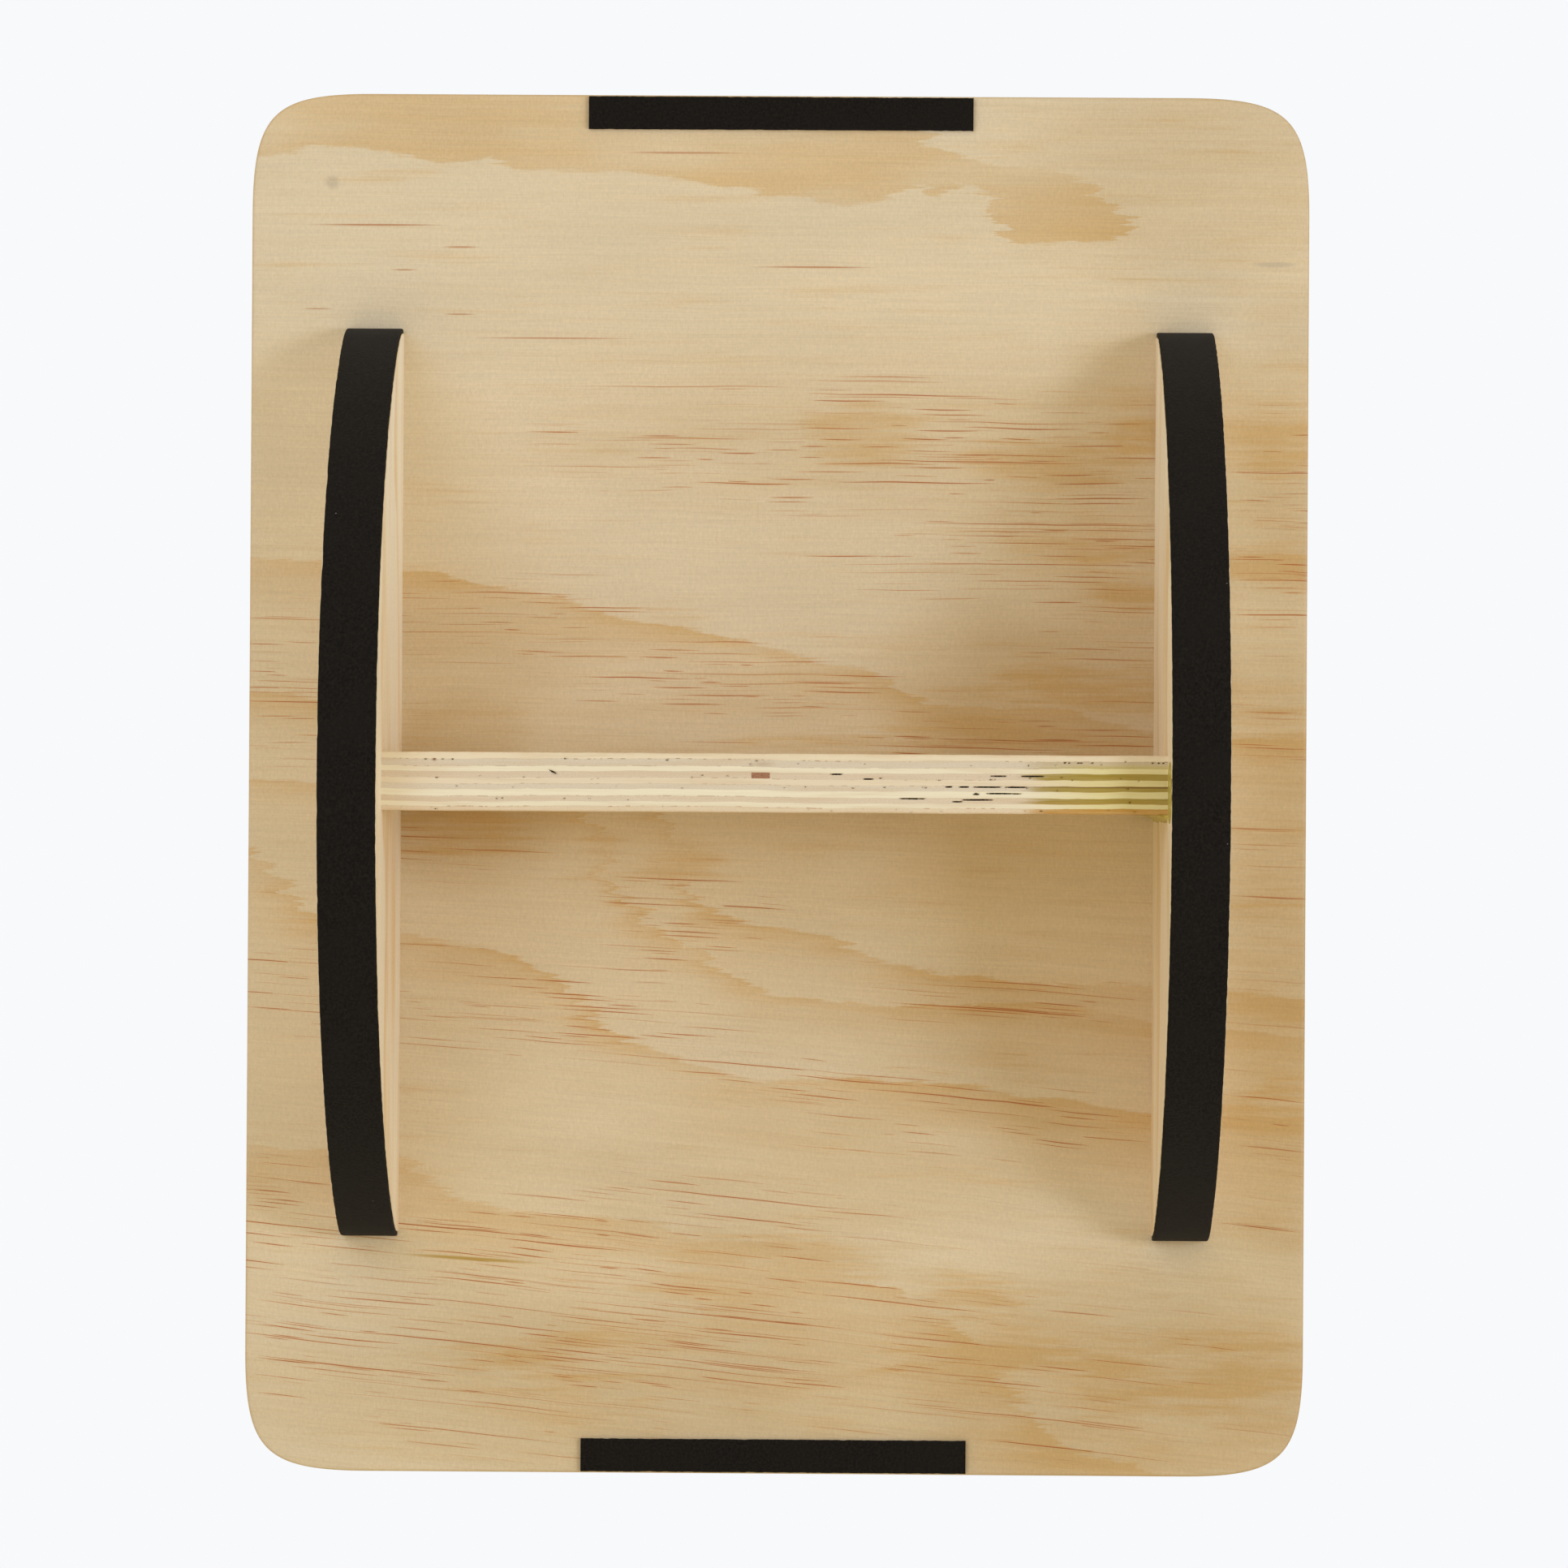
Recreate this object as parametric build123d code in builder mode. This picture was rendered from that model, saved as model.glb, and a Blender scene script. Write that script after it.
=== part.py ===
"""A plywood rocker board, a small seesaw to stand on: a rounded board on two curved rockers,
tied together by a brace, with felt under everything that can meet the floor.

Frame: X is the way it rocks, Y is across, Z is up. The floor is at Z = 0, under the middle
of the board, with the board level.
"""
from build123d import *
from math import atan2, degrees
import os

# Driving dimensions, in millimetres.
ply = 17.7  # one sheet for the board, the rockers and the brace: sold as 18 mm, then sanded

board_length = 430  # along X
board_width = 330  # along Y
corner_reach = 38  # from the square corner to where the rounding starts, along either edge
corner_handle = 6  # from the square corner to the curve's handles: smaller is squarer
standing_edge_round = 3  # on the face that is stood on
underside_edge_round = 1

rocker_length = 280
rocker_height = 105
rocker_end_radius = 44  # the tighter curve that meets the board square
board_overhang = 30  # from the board's long edge to a rocker's outer face

brace_floor_gap = 20  # from the brace's lower edge to the level of the rockers' lowest wood

felt_thickness = 1.5
rocker_felt_margin = 0.15  # bare wood left along each edge of a rocker
rocker_felt_end_gap = 1  # from the felt's cut ends to the board

stop_felt_length = 120
stop_felt_width = 10.3
stop_felt_inset = 0.5  # from the board's short edge

dowel_diameter = 8
dowel_length = 30
dowel_in_face = 11  # the part of a dowel that is in the board or in a rocker's side
dowel_chamfer = 0.8
dowel_glue_gap = 0.1  # round a dowel
dowel_end_gap = 0.5  # past each end of a dowel
rocker_dowel_inset = 45  # from a rocker's end to its outer dowels
brace_dowel_inset = 47  # from the brace's end to the dowel up into the board
brace_end_dowel_drop = 32  # from the board down to the upper dowel in the brace's end
brace_end_dowel_margin = 21  # from the lower dowel to the brace's lower edge

# Levels and places that follow from them.
rocker_bottom = felt_thickness
board_underside = rocker_bottom + rocker_height
brace_bottom = rocker_bottom + brace_floor_gap
brace_height = board_underside - brace_bottom
half_length = board_length / 2
half_width = board_width / 2
rocker_outer_y = half_width - board_overhang
rocker_inner_y = rocker_outer_y - ply
rocker_y = (rocker_outer_y + rocker_inner_y) / 2
brace_length = 2 * rocker_inner_y

# The rocker's outline is three arcs that run into each other: one long arc that rolls on the
# floor, and an end arc each side, centred on the board's underside so that it ends upright.
end_centre_x = rocker_length / 2 - rocker_end_radius
rocker_radius = (end_centre_x**2 + rocker_height**2 - rocker_end_radius**2) / (
    2 * (rocker_height - rocker_end_radius)
)
roll_centre_rise = rocker_radius - rocker_height  # above the board's underside
end_sweep = degrees(atan2(roll_centre_rise, end_centre_x))

# Dowels and the holes they are glued into.
dowel_radius = dowel_diameter / 2
hole_radius = dowel_radius + dowel_glue_gap
hole_in_face = dowel_in_face + dowel_end_gap
dowel_in_edge = dowel_length - dowel_in_face
hole_in_edge = dowel_in_edge + dowel_end_gap
rocker_dowel_x = rocker_length / 2 - rocker_dowel_inset
rocker_dowel_places = [(x, 0) for x in (-rocker_dowel_x, 0, rocker_dowel_x)]
brace_dowel_y = brace_length / 2 - brace_dowel_inset
brace_end_dowel_levels = [
    board_underside - brace_end_dowel_drop,
    brace_bottom + brace_end_dowel_margin,
]

SIDES = ((1, "left"), (-1, "right"))
ENDS = ((1, "front"), (-1, "back"))


def rocker_outline(outset):
    """The rocker's outline, grown by outset, hanging from the X axis as a flat face."""
    with BuildSketch() as shape:
        with BuildLine() as outline:
            CenterArc((end_centre_x, 0), rocker_end_radius + outset, 0, -end_sweep)
            CenterArc((0, roll_centre_rise), rocker_radius + outset, -end_sweep, 2 * end_sweep - 180)
            CenterArc((-end_centre_x, 0), rocker_end_radius + outset, end_sweep - 180, -end_sweep)
            Line(outline.wires()[0] @ 0, outline.wires()[0] @ 1)
        make_face()
    return shape.sketch_local


def upright_plane(y):
    """A plane across Y whose sketches stand upright, with their X axis on the board's underside."""
    return Plane(origin=(0, y, board_underside), x_dir=(1, 0, 0), z_dir=(0, -1, 0))


os.makedirs("parts", exist_ok=True)

# The board: a rectangle whose corners are drawn as one soft curve each.
with BuildPart() as board:
    with BuildSketch(Plane.XY.offset(board_underside)):
        with BuildLine():
            straight_x = half_length - corner_reach
            straight_y = half_width - corner_reach
            handle_x = half_length - corner_handle
            handle_y = half_width - corner_handle
            for a in (1, -1):
                Line((-straight_x, a * half_width), (straight_x, a * half_width))
                Line((a * half_length, -straight_y), (a * half_length, straight_y))
                for b in (1, -1):
                    Bezier(
                        (a * straight_x, b * half_width),
                        (a * handle_x, b * half_width),
                        (a * half_length, b * handle_y),
                        (a * half_length, b * straight_y),
                    )
        make_face()
    extrude(amount=ply)
    fillet(board.faces().sort_by(Axis.Z)[-1].edges(), standing_edge_round)
    fillet(board.faces().sort_by(Axis.Z)[0].edges(), underside_edge_round)
    for side, hand in SIDES:
        with Locations(Plane((0, side * rocker_y, board_underside), z_dir=(0, 0, -1))):
            with Locations(*rocker_dowel_places):
                Hole(hole_radius, hole_in_face)
    with Locations(Plane((0, 0, board_underside), z_dir=(0, 0, -1))):
        with Locations((0, brace_dowel_y), (0, -brace_dowel_y)):
            Hole(hole_radius, hole_in_face)
board.part.label = "board"
export_step(board.part, "parts/board.step")

# The rockers, with their dowels, felt, and the dowels that the brace's ends go on.
for side, hand in SIDES:
    with BuildPart() as rocker:
        with BuildSketch(upright_plane(side * rocker_y)):
            add(rocker_outline(0))
        extrude(amount=ply / 2, both=True)
        with Locations(Plane((0, side * rocker_y, board_underside))):
            with Locations(*rocker_dowel_places):
                Hole(hole_radius, hole_in_edge)
        for level in brace_end_dowel_levels:
            with Locations(Plane((0, side * rocker_inner_y, level), z_dir=(0, -side, 0))):
                Hole(hole_radius, hole_in_face)
    rocker.part.label = f"rocker_{hand}"
    export_step(rocker.part, f"parts/rocker_{hand}.step")

    with BuildPart() as rocker_felt:
        with BuildSketch(upright_plane(side * rocker_y)):
            add(rocker_outline(felt_thickness))
            add(rocker_outline(0), mode=Mode.SUBTRACT)
            Rectangle(2 * rocker_length, 2 * rocker_felt_end_gap, mode=Mode.SUBTRACT)
        extrude(amount=ply / 2 - rocker_felt_margin, both=True)
    rocker_felt.part.label = f"rocker_felt_{hand}"
    export_step(rocker_felt.part, f"parts/rocker_felt_{hand}.step")

    with BuildPart() as rocker_dowels:
        with BuildSketch(Plane((0, side * rocker_y, board_underside - dowel_in_edge))):
            with Locations(*rocker_dowel_places):
                Circle(dowel_radius)
        extrude(amount=dowel_length)
        chamfer(rocker_dowels.edges().filter_by(GeomType.CIRCLE), dowel_chamfer)
    rocker_dowels.part.label = f"rocker_dowels_{hand}"
    export_step(rocker_dowels.part, f"parts/rocker_dowels_{hand}.step")

    dowel_tip_y = side * (rocker_inner_y + dowel_in_face)
    with BuildPart() as brace_end_dowels:
        with BuildSketch(Plane((0, dowel_tip_y, 0), x_dir=(1, 0, 0), z_dir=(0, -1, 0))):
            with Locations(*[(0, level) for level in brace_end_dowel_levels]):
                Circle(dowel_radius)
        extrude(amount=side * dowel_length)
        chamfer(brace_end_dowels.edges().filter_by(GeomType.CIRCLE), dowel_chamfer)
    brace_end_dowels.part.label = f"brace_end_dowels_{hand}"
    export_step(brace_end_dowels.part, f"parts/brace_end_dowels_{hand}.step")

# The brace: a panel on edge between the rockers, up against the board.
with BuildPart() as brace:
    with BuildSketch(Plane.YZ):
        with Locations((0, brace_bottom + brace_height / 2)):
            Rectangle(brace_length, brace_height)
    extrude(amount=ply / 2, both=True)
    with Locations(Plane((0, 0, board_underside))):
        with Locations((0, brace_dowel_y), (0, -brace_dowel_y)):
            Hole(hole_radius, hole_in_edge)
    for side, hand in SIDES:
        for level in brace_end_dowel_levels:
            with Locations(Plane((0, side * rocker_inner_y, level), z_dir=(0, side, 0))):
                Hole(hole_radius, hole_in_edge)
brace.part.label = "brace"
export_step(brace.part, "parts/brace.step")

with BuildPart() as brace_board_dowels:
    with BuildSketch(Plane.XY.offset(board_underside - dowel_in_edge)):
        with Locations((0, brace_dowel_y), (0, -brace_dowel_y)):
            Circle(dowel_radius)
    extrude(amount=dowel_length)
    chamfer(brace_board_dowels.edges().filter_by(GeomType.CIRCLE), dowel_chamfer)
brace_board_dowels.part.label = "brace_board_dowels"
export_step(brace_board_dowels.part, "parts/brace_board_dowels.step")

# The felt strips under the board's short edges, which land on the floor at full tilt.
stop_felt_x = half_length - stop_felt_inset - stop_felt_width / 2
for end, name in ENDS:
    with BuildPart() as stop_felt:
        with BuildSketch(Plane.XY.offset(board_underside)):
            with Locations((end * stop_felt_x, 0)):
                Rectangle(stop_felt_width, stop_felt_length)
        extrude(amount=-felt_thickness)
    stop_felt.part.label = f"stop_felt_{name}"
    export_step(stop_felt.part, f"parts/stop_felt_{name}.step")
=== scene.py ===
"""The looks of a small plywood rocker board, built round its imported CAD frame.

The board is stood on; two rockers and a brace are under it, with felt where it meets the floor.
X is the way it rocks, Y runs across, along the face grain of the board, and Z is up.
Meshes are in metres. Helpers and materials work in millimetres where that reads more easily.
"""

import bmesh
import bpy
import numpy as np
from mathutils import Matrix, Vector


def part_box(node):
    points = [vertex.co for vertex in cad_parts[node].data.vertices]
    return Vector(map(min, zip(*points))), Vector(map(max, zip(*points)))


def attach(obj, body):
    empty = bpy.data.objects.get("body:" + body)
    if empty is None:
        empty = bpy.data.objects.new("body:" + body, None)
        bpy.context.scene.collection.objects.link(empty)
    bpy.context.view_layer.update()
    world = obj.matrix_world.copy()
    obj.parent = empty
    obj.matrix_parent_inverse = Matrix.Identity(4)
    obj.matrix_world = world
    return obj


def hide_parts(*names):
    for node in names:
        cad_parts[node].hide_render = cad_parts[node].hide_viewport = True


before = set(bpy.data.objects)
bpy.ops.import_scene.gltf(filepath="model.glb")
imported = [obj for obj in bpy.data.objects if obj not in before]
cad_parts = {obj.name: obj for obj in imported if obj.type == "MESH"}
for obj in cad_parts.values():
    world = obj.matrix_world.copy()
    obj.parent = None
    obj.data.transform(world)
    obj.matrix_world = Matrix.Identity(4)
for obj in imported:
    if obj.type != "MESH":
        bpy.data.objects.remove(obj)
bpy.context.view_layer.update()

MM = 0.001

# ---------------------------------------------------------------- sizes, all from the frame
board_low, board_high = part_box("board")
rocker_low, rocker_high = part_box("rocker_left")
felt_low, felt_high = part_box("rocker_felt_left")
brace_low, brace_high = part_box("brace")

HALF_LENGTH = board_high.x
HALF_WIDTH = board_high.y
UNDERSIDE = board_low.z
STANDING_FACE = board_high.z
SHEET = STANDING_FACE - UNDERSIDE
ROCKER_HALF_LENGTH = rocker_high.x
ROCKER_HEIGHT = UNDERSIDE - rocker_low.z
ROCKER_INNER = rocker_low.y
ROCKER_OUTER = rocker_high.y
FELT = rocker_low.z - felt_low.z
FELT_END_GAP = UNDERSIDE - felt_high.z
BRACE_BOTTOM = brace_low.z

# Curves of the CAD shapes that a box can't tell, in metres.
CORNER_REACH = 0.038
CORNER_HANDLE = 0.006
UNDERSIDE_ROUND = 0.001
STANDING_ROUND = 0.003
ROCKER_END_RADIUS = 0.044
ARRIS_EASE = 0.35 * MM  # the rubbed-off corner along the rockers' and the brace's cut edges

PLIES = 9
PLY_EDGE_MARGIN = 0.5  # how far the wandering limits of the plies stay inside the sheet, in mm

END_CENTRE = ROCKER_HALF_LENGTH - ROCKER_END_RADIUS
ROLL_RADIUS = (END_CENTRE**2 + ROCKER_HEIGHT**2 - ROCKER_END_RADIUS**2) / (
    2 * (ROCKER_HEIGHT - ROCKER_END_RADIUS))
ROLL_RISE = ROLL_RADIUS - ROCKER_HEIGHT
END_SWEEP = np.arctan2(ROLL_RISE, END_CENTRE)


# ---------------------------------------------------------------- mesh helpers
def grid_faces(rows, columns):
    """Quads between neighbouring points of a grid numbered row by row."""
    i, j = np.meshgrid(np.arange(rows - 1), np.arange(columns - 1), indexing="ij")
    first = i * columns + j
    return np.stack([first, first + 1, first + columns + 1, first + columns], -1).reshape(-1, 4)


def shell(name, patches, materials, sharp=40, extra=None):
    """One closed mesh from grids of points, each with its material's number.

    Points that touch are merged, which also closes poles, and faces are turned outwards.
    extra is loose closed geometry, as (points, faces, material's number), added after that.
    """
    points, faces, slots, start = [], [], [], 0
    for grid, slot in patches:
        rows, columns = grid.shape[:2]
        quads = grid_faces(rows, columns) + start
        points.append(grid.reshape(-1, 3))
        faces.append(quads)
        slots.append(np.full(len(quads), slot))
        start += rows * columns
    mesh = bpy.data.meshes.new(name)
    mesh.from_pydata(np.concatenate(points).tolist(), [], np.concatenate(faces).tolist())
    mesh.polygons.foreach_set("material_index", np.concatenate(slots).astype(np.int32))
    work = bmesh.new()
    work.from_mesh(mesh)
    bmesh.ops.remove_doubles(work, verts=work.verts, dist=2e-6)
    bmesh.ops.recalc_face_normals(work, faces=work.faces)
    if extra is not None:
        more = bpy.data.meshes.new("loose")
        more.from_pydata(extra[0].tolist(), [], extra[1])
        more.polygons.foreach_set("material_index", np.full(len(extra[1]), extra[2], np.int32))
        work.from_mesh(more)
        bpy.data.meshes.remove(more)
    work.to_mesh(mesh)
    work.free()
    for material in materials:
        mesh.materials.append(material)
    mesh.polygons.foreach_set("use_smooth", np.ones(len(mesh.polygons), bool))
    mesh.set_sharp_from_angle(angle=np.radians(sharp))
    piece = bpy.data.objects.new(name, mesh)
    bpy.context.scene.collection.objects.link(piece)
    return piece


def vertices(piece):
    """The piece's points, one row each."""
    flat = np.empty(len(piece.data.vertices) * 3, np.float32)
    piece.data.vertices.foreach_get("co", flat)
    return flat.reshape(-1, 3).astype(float)


def attribute(piece, name, values):
    """Stores one number at each point, for the materials to read."""
    layer = piece.data.attributes.new(name, "FLOAT", "POINT")
    layer.data.foreach_set("value", np.asarray(values, np.float32))


def edge_distance(piece, distance):
    """Stores how far each point is from the nearest handled edge, in millimetres."""
    attribute(piece, "edge", np.clip(distance / MM, 0, 30))


def wander(rng, count, reach, size):
    """A smooth random line: count seeded values, averaged over reach neighbours, to about size."""
    window = np.hanning(reach + 2)[1:-1]
    line = np.convolve(rng.normal(size=count + reach), window / np.sqrt((window**2).sum()), "same")
    return size * line[reach // 2:reach // 2 + count]


def smooth_step(low, high, value):
    """0 below low, 1 above high, and an S-shaped rise between."""
    t = np.clip((value - low) / (high - low), 0, 1)
    return t * t * (3 - 2 * t)


# ---------------------------------------------------------------- node helpers
def srgb(red, green, blue):
    """A colour from its 0 to 255 values, as the linear numbers that shaders work in."""
    c = np.array([red, green, blue]) / 255
    return (*np.where(c <= 0.04045, c / 12.92, ((c + 0.055) / 1.055) ** 2.4).tolist(), 1.0)


class Net:
    """Adds nodes to one tree. Each input is a socket to link, a value to set, or None to leave."""

    def __init__(self, tree):
        self.tree = tree

    def node(self, kind, inputs=(), **settings):
        made = self.tree.nodes.new(kind)
        for name, value in settings.items():
            setattr(made, name, value)
        for key, value in inputs.items() if isinstance(inputs, dict) else enumerate(inputs):
            if isinstance(value, bpy.types.NodeSocket):
                self.tree.links.new(value, made.inputs[key])
            elif value is not None:
                made.inputs[key].default_value = value
        return made

    def math(self, operation, *values, clamp=False):
        return self.node("ShaderNodeMath", values, operation=operation, use_clamp=clamp).outputs[0]

    def vector(self, operation, *values):
        made = self.node("ShaderNodeVectorMath", values, operation=operation)
        return made.outputs["Value" if operation == "LENGTH" else "Vector"]

    def chain(self, operation, values, clamp=False):
        """One operation on two or more values, from the first on."""
        result = values[0]
        for number, value in enumerate(values[1:], 2):
            result = self.math(operation, result, value, clamp=clamp and number == len(values))
        return result

    def times(self, *values, clamp=False):
        return self.chain("MULTIPLY", values, clamp)

    def plus(self, *values, clamp=False):
        return self.chain("ADD", values, clamp)

    def minus(self, *values, clamp=False):
        return self.chain("SUBTRACT", values, clamp)

    def most(self, *values):
        return self.chain("MAXIMUM", values)

    def about_zero(self, value, size):
        """value from 0..1 to -size / 2..size / 2."""
        return self.math("MULTIPLY_ADD", value, size, -size / 2)

    def ramp(self, value, low, high, to_low=0.0, to_high=1.0, smooth=True):
        """value from low..high to to_low..to_high, held at the ends."""
        kind = "SMOOTHSTEP" if smooth else "LINEAR"
        return self.node("ShaderNodeMapRange", [value, low, high, to_low, to_high],
                         interpolation_type=kind).outputs[0]

    def mix(self, factor, first, second, blend="MIX"):
        made = self.node("ShaderNodeMix", {0: factor, 6: first, 7: second}, data_type="RGBA",
                         blend_type=blend, clamp_factor=True)
        return made.outputs[2]

    def shaded(self, colour, tone):
        """colour made lighter or darker by the factor tone."""
        return self.node("ShaderNodeVectorMath", {0: colour, 3: tone},
                         operation="SCALE").outputs[0]

    def split(self, vector):
        return self.node("ShaderNodeSeparateXYZ", [vector]).outputs

    def join(self, x, y, z):
        return self.node("ShaderNodeCombineXYZ", [x, y, z]).outputs[0]

    def scaled(self, position, x, y, z):
        """position times one number along each axis."""
        return self.vector("MULTIPLY", position, (x, y, z))

    def noise(self, position, scale=1.0, detail=2.0, roughness=0.5):
        """Soft random values about 0.5. scale is one number, or one along each axis."""
        if isinstance(scale, tuple):
            position, scale = self.scaled(position, *scale), 1.0
        return self.node("ShaderNodeTexNoise", {
            "Vector": position, "Scale": scale, "Detail": detail,
            "Roughness": roughness}).outputs[0]

    def spot(self, position, centre, reach, turn=0.0, soft=1.0):
        """1 in the middle of an ellipse in X and Y, falling to 0 at its rim."""
        local = self.node("ShaderNodeMapping", {
            "Vector": position, "Location": (*centre, 0), "Rotation": (0, 0, np.radians(turn)),
            "Scale": (*reach, 1e4)}, vector_type="TEXTURE").outputs[0]
        return self.ramp(self.vector("LENGTH", local), 1.0, 1.0 - soft)

    def group(self, tree, **inputs):
        made = self.node("ShaderNodeGroup", node_tree=tree)
        for name, value in inputs.items():
            socket = made.inputs[name.replace("_", " ").capitalize()]
            if isinstance(value, bpy.types.NodeSocket):
                self.tree.links.new(value, socket)
            else:
                socket.default_value = value
        return made.outputs


SOCKETS = {"vector": "NodeSocketVector", "value": "NodeSocketFloat", "colour": "NodeSocketColor"}


def node_group(name, inputs, outputs):
    """A new node group: its net, its input sockets and a function that links its outputs."""
    tree = bpy.data.node_groups.new(name, "ShaderNodeTree")
    for label, kind in inputs.items():
        tree.interface.new_socket(label, in_out="INPUT", socket_type=SOCKETS[kind])
    for label, kind in outputs.items():
        tree.interface.new_socket(label, in_out="OUTPUT", socket_type=SOCKETS[kind])
    net = Net(tree)
    given = tree.nodes.new("NodeGroupInput").outputs
    result = tree.nodes.new("NodeGroupOutput")

    def put(**values):
        for label, value in values.items():
            tree.links.new(value, result.inputs[label.replace("_", " ").capitalize()])
    return tree, net, given, put


# ---------------------------------------------------------------- shared effects
def make_streaks_group():
    """Resin streaks: thin lens-shaped dashes along Y, one in some of the cells of a stretched
    random grid. A dash is thickest at its cell's point and closes to nothing at both ends."""
    tree, net, given, put = node_group(
        "resin streaks",
        {"Position": "vector", "Density": "value", "Cell length": "value",
         "Cell width": "value", "Thickness": "value"},
        {"Core": "value", "Halo": "value"})
    size = net.join(given["Cell width"], given["Cell length"], 1.0)
    place = net.vector("DIVIDE", given["Position"], size)
    cells = net.node("ShaderNodeTexVoronoi", {"Vector": place, "Scale": 1.0, "Randomness": 1.0},
                     voronoi_dimensions="2D", feature="F1")
    offset = net.split(net.vector("SUBTRACT", place, cells.outputs["Position"]))
    chance = net.node("ShaderNodeSeparateColor", [cells.outputs["Color"]]).outputs
    half = net.ramp(chance[1], 0, 1, 0.16, 0.6, smooth=False)
    reach = net.math("DIVIDE", offset[1], half)
    taper = net.minus(1.0, net.times(reach, reach), clamp=True)
    taper = net.math("POWER", taper, 1.6)
    thick = net.times(given["Thickness"], net.ramp(chance[2], 0, 1, 0.3, 1.3))
    thick = net.times(thick, taper)
    away = net.math("ABSOLUTE", net.times(offset[0], given["Cell width"]))
    here = net.times(net.minus(given["Density"], chance[0]), 5.0, clamp=True)
    here = net.times(here, net.ramp(taper, 0.0, 0.3))

    def dash(width, least):
        side = net.math("MULTIPLY_ADD", thick, width, least)
        share = net.math("DIVIDE", away, net.most(side, 0.01))
        return net.times(net.ramp(share, 1.0, 0.25), here)
    put(core=dash(1.0, -0.03), halo=dash(1.7, 0.07))
    return tree


def make_veneer_group(streaks):
    """Sanded pine veneer, grain along Y, in millimetres.

    Colour runs from pale early wood to tan late wood, under long fibre lines, a linen-like
    crossing of rays and pores, blotches and resin streaks."""
    tree, net, given, put = node_group(
        "pine veneer",
        {"Position": "vector", "Late wood": "value", "Resin": "value",
         "Pale": "colour", "Tan": "colour"},
        {"Colour": "colour", "Roughness": "value", "Height": "value"})
    place = given["Position"]
    fibre = net.noise(place, (1.9, 0.035, 1.9), detail=3.0, roughness=0.65)
    line = net.noise(place, (0.55, 0.012, 0.55), detail=2.0)
    pores = net.noise(place, (1.1, 1.0, 1.1), detail=2.0, roughness=0.6)
    rays = net.noise(place, (0.5, 2.4, 0.5), detail=1.0)
    blotch = net.noise(place, (0.03, 0.012, 0.03), detail=2.0)
    late = net.plus(given["Late wood"], net.about_zero(line, 0.34), clamp=True)
    colour = net.mix(late, given["Pale"], given["Tan"])
    tone = net.ramp(fibre, 0.25, 0.75, 0.94, 1.05, smooth=False)
    tone = net.times(tone, net.ramp(pores, 0.3, 0.7, 0.955, 1.035, smooth=False),
                     net.ramp(rays, 0.3, 0.7, 0.975, 1.025, smooth=False),
                     net.ramp(blotch, 0.3, 0.7, 0.97, 1.03))
    colour = net.shaded(colour, tone)
    core, halo = 0.0, 0.0
    for shift, share, length, width, thick in (
            ((0, 0, 0), 0.75, 40.0, 1.3, 0.17), ((311, 177, 0), 0.75, 90.0, 2.1, 0.19),
            ((97, 415, 0), 0.35, 15.0, 1.1, 0.14)):
        dashes = net.group(streaks, position=net.vector("ADD", place, shift),
                           density=net.times(given["Resin"], share),
                           cell_length=length, cell_width=width, thickness=thick)
        core = net.most(core, dashes["Core"])
        halo = net.most(halo, dashes["Halo"])
    colour = net.mix(net.times(halo, 0.5), colour, srgb(214, 140, 66))
    colour = net.mix(net.times(core, 0.9), colour, srgb(164, 82, 26))
    rough = net.minus(net.ramp(fibre, 0.3, 0.7, 0.52, 0.64, smooth=False), net.times(core, 0.12))
    height = net.plus(net.about_zero(fibre, 0.05), net.about_zero(pores, 0.03))
    put(colour=colour, roughness=rough, height=net.minus(height, net.times(core, 0.02)))
    return tree


def make_rings_group():
    """Growth rings on a flat-sawn face, for faces that nothing special is known of: the level of
    a gently rising surface, bent by noise, folded into saw teeth with one sharp side each."""
    tree, net, given, put = node_group(
        "growth rings", {"Position": "vector", "Spacing": "value"}, {"Late wood": "value"})
    place = given["Position"]
    bend = net.noise(place, (0.011, 0.004, 0.011), detail=2.0)
    ripple = net.noise(place, (0.12, 0.02, 0.12), detail=3.0)
    fingers = net.noise(place, (0.5, 0.014, 0.5), detail=3.0, roughness=0.7)
    level = net.plus(net.split(place)[0], net.times(bend, 180.0),
                     net.times(ripple, 9.0), net.times(fingers, 9.0))
    tooth = net.math("FRACT", net.math("DIVIDE", level, given["Spacing"]))
    late = net.times(net.ramp(tooth, 0.0, 0.025), net.ramp(tooth, 0.55, 0.02))
    strength = net.ramp(net.noise(place, (0.03, 0.01, 0.03), detail=3.0), 0.32, 0.65, 0.25, 0.9)
    put(late_wood=net.times(late, strength))
    return tree


def make_edge_group():
    """What handling does near an edge: within about a millimetre of it the wood is rubbed
    smoother and a little warmer and darker, in broken patches, with small dents."""
    tree, net, given, put = node_group(
        "rubbed edge",
        {"Colour": "colour", "Position": "vector", "Distance": "value"},
        {"Colour": "colour", "Polish": "value", "Height": "value"})
    near = net.ramp(given["Distance"], 1.6, 0.1)
    broken = net.ramp(net.noise(given["Position"], 0.35, detail=3.0), 0.35, 0.65)
    worn = net.times(near, net.ramp(broken, 0.0, 1.0, 0.35, 1.0))
    dents = net.ramp(net.noise(given["Position"], 1.3, detail=1.0), 0.62, 0.75)
    colour = net.mix(net.times(worn, 0.2), given["Colour"], srgb(222, 182, 138))
    put(colour=colour, polish=net.times(worn, 0.12),
        height=net.times(net.times(dents, near), -0.08))
    return tree


STREAKS = make_streaks_group()
VENEER = make_veneer_group(STREAKS)
RINGS = make_rings_group()
RUBBED = make_edge_group()

PALE_PINE = srgb(227, 208, 174)
TAN_PINE = srgb(216, 180, 122)


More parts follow.
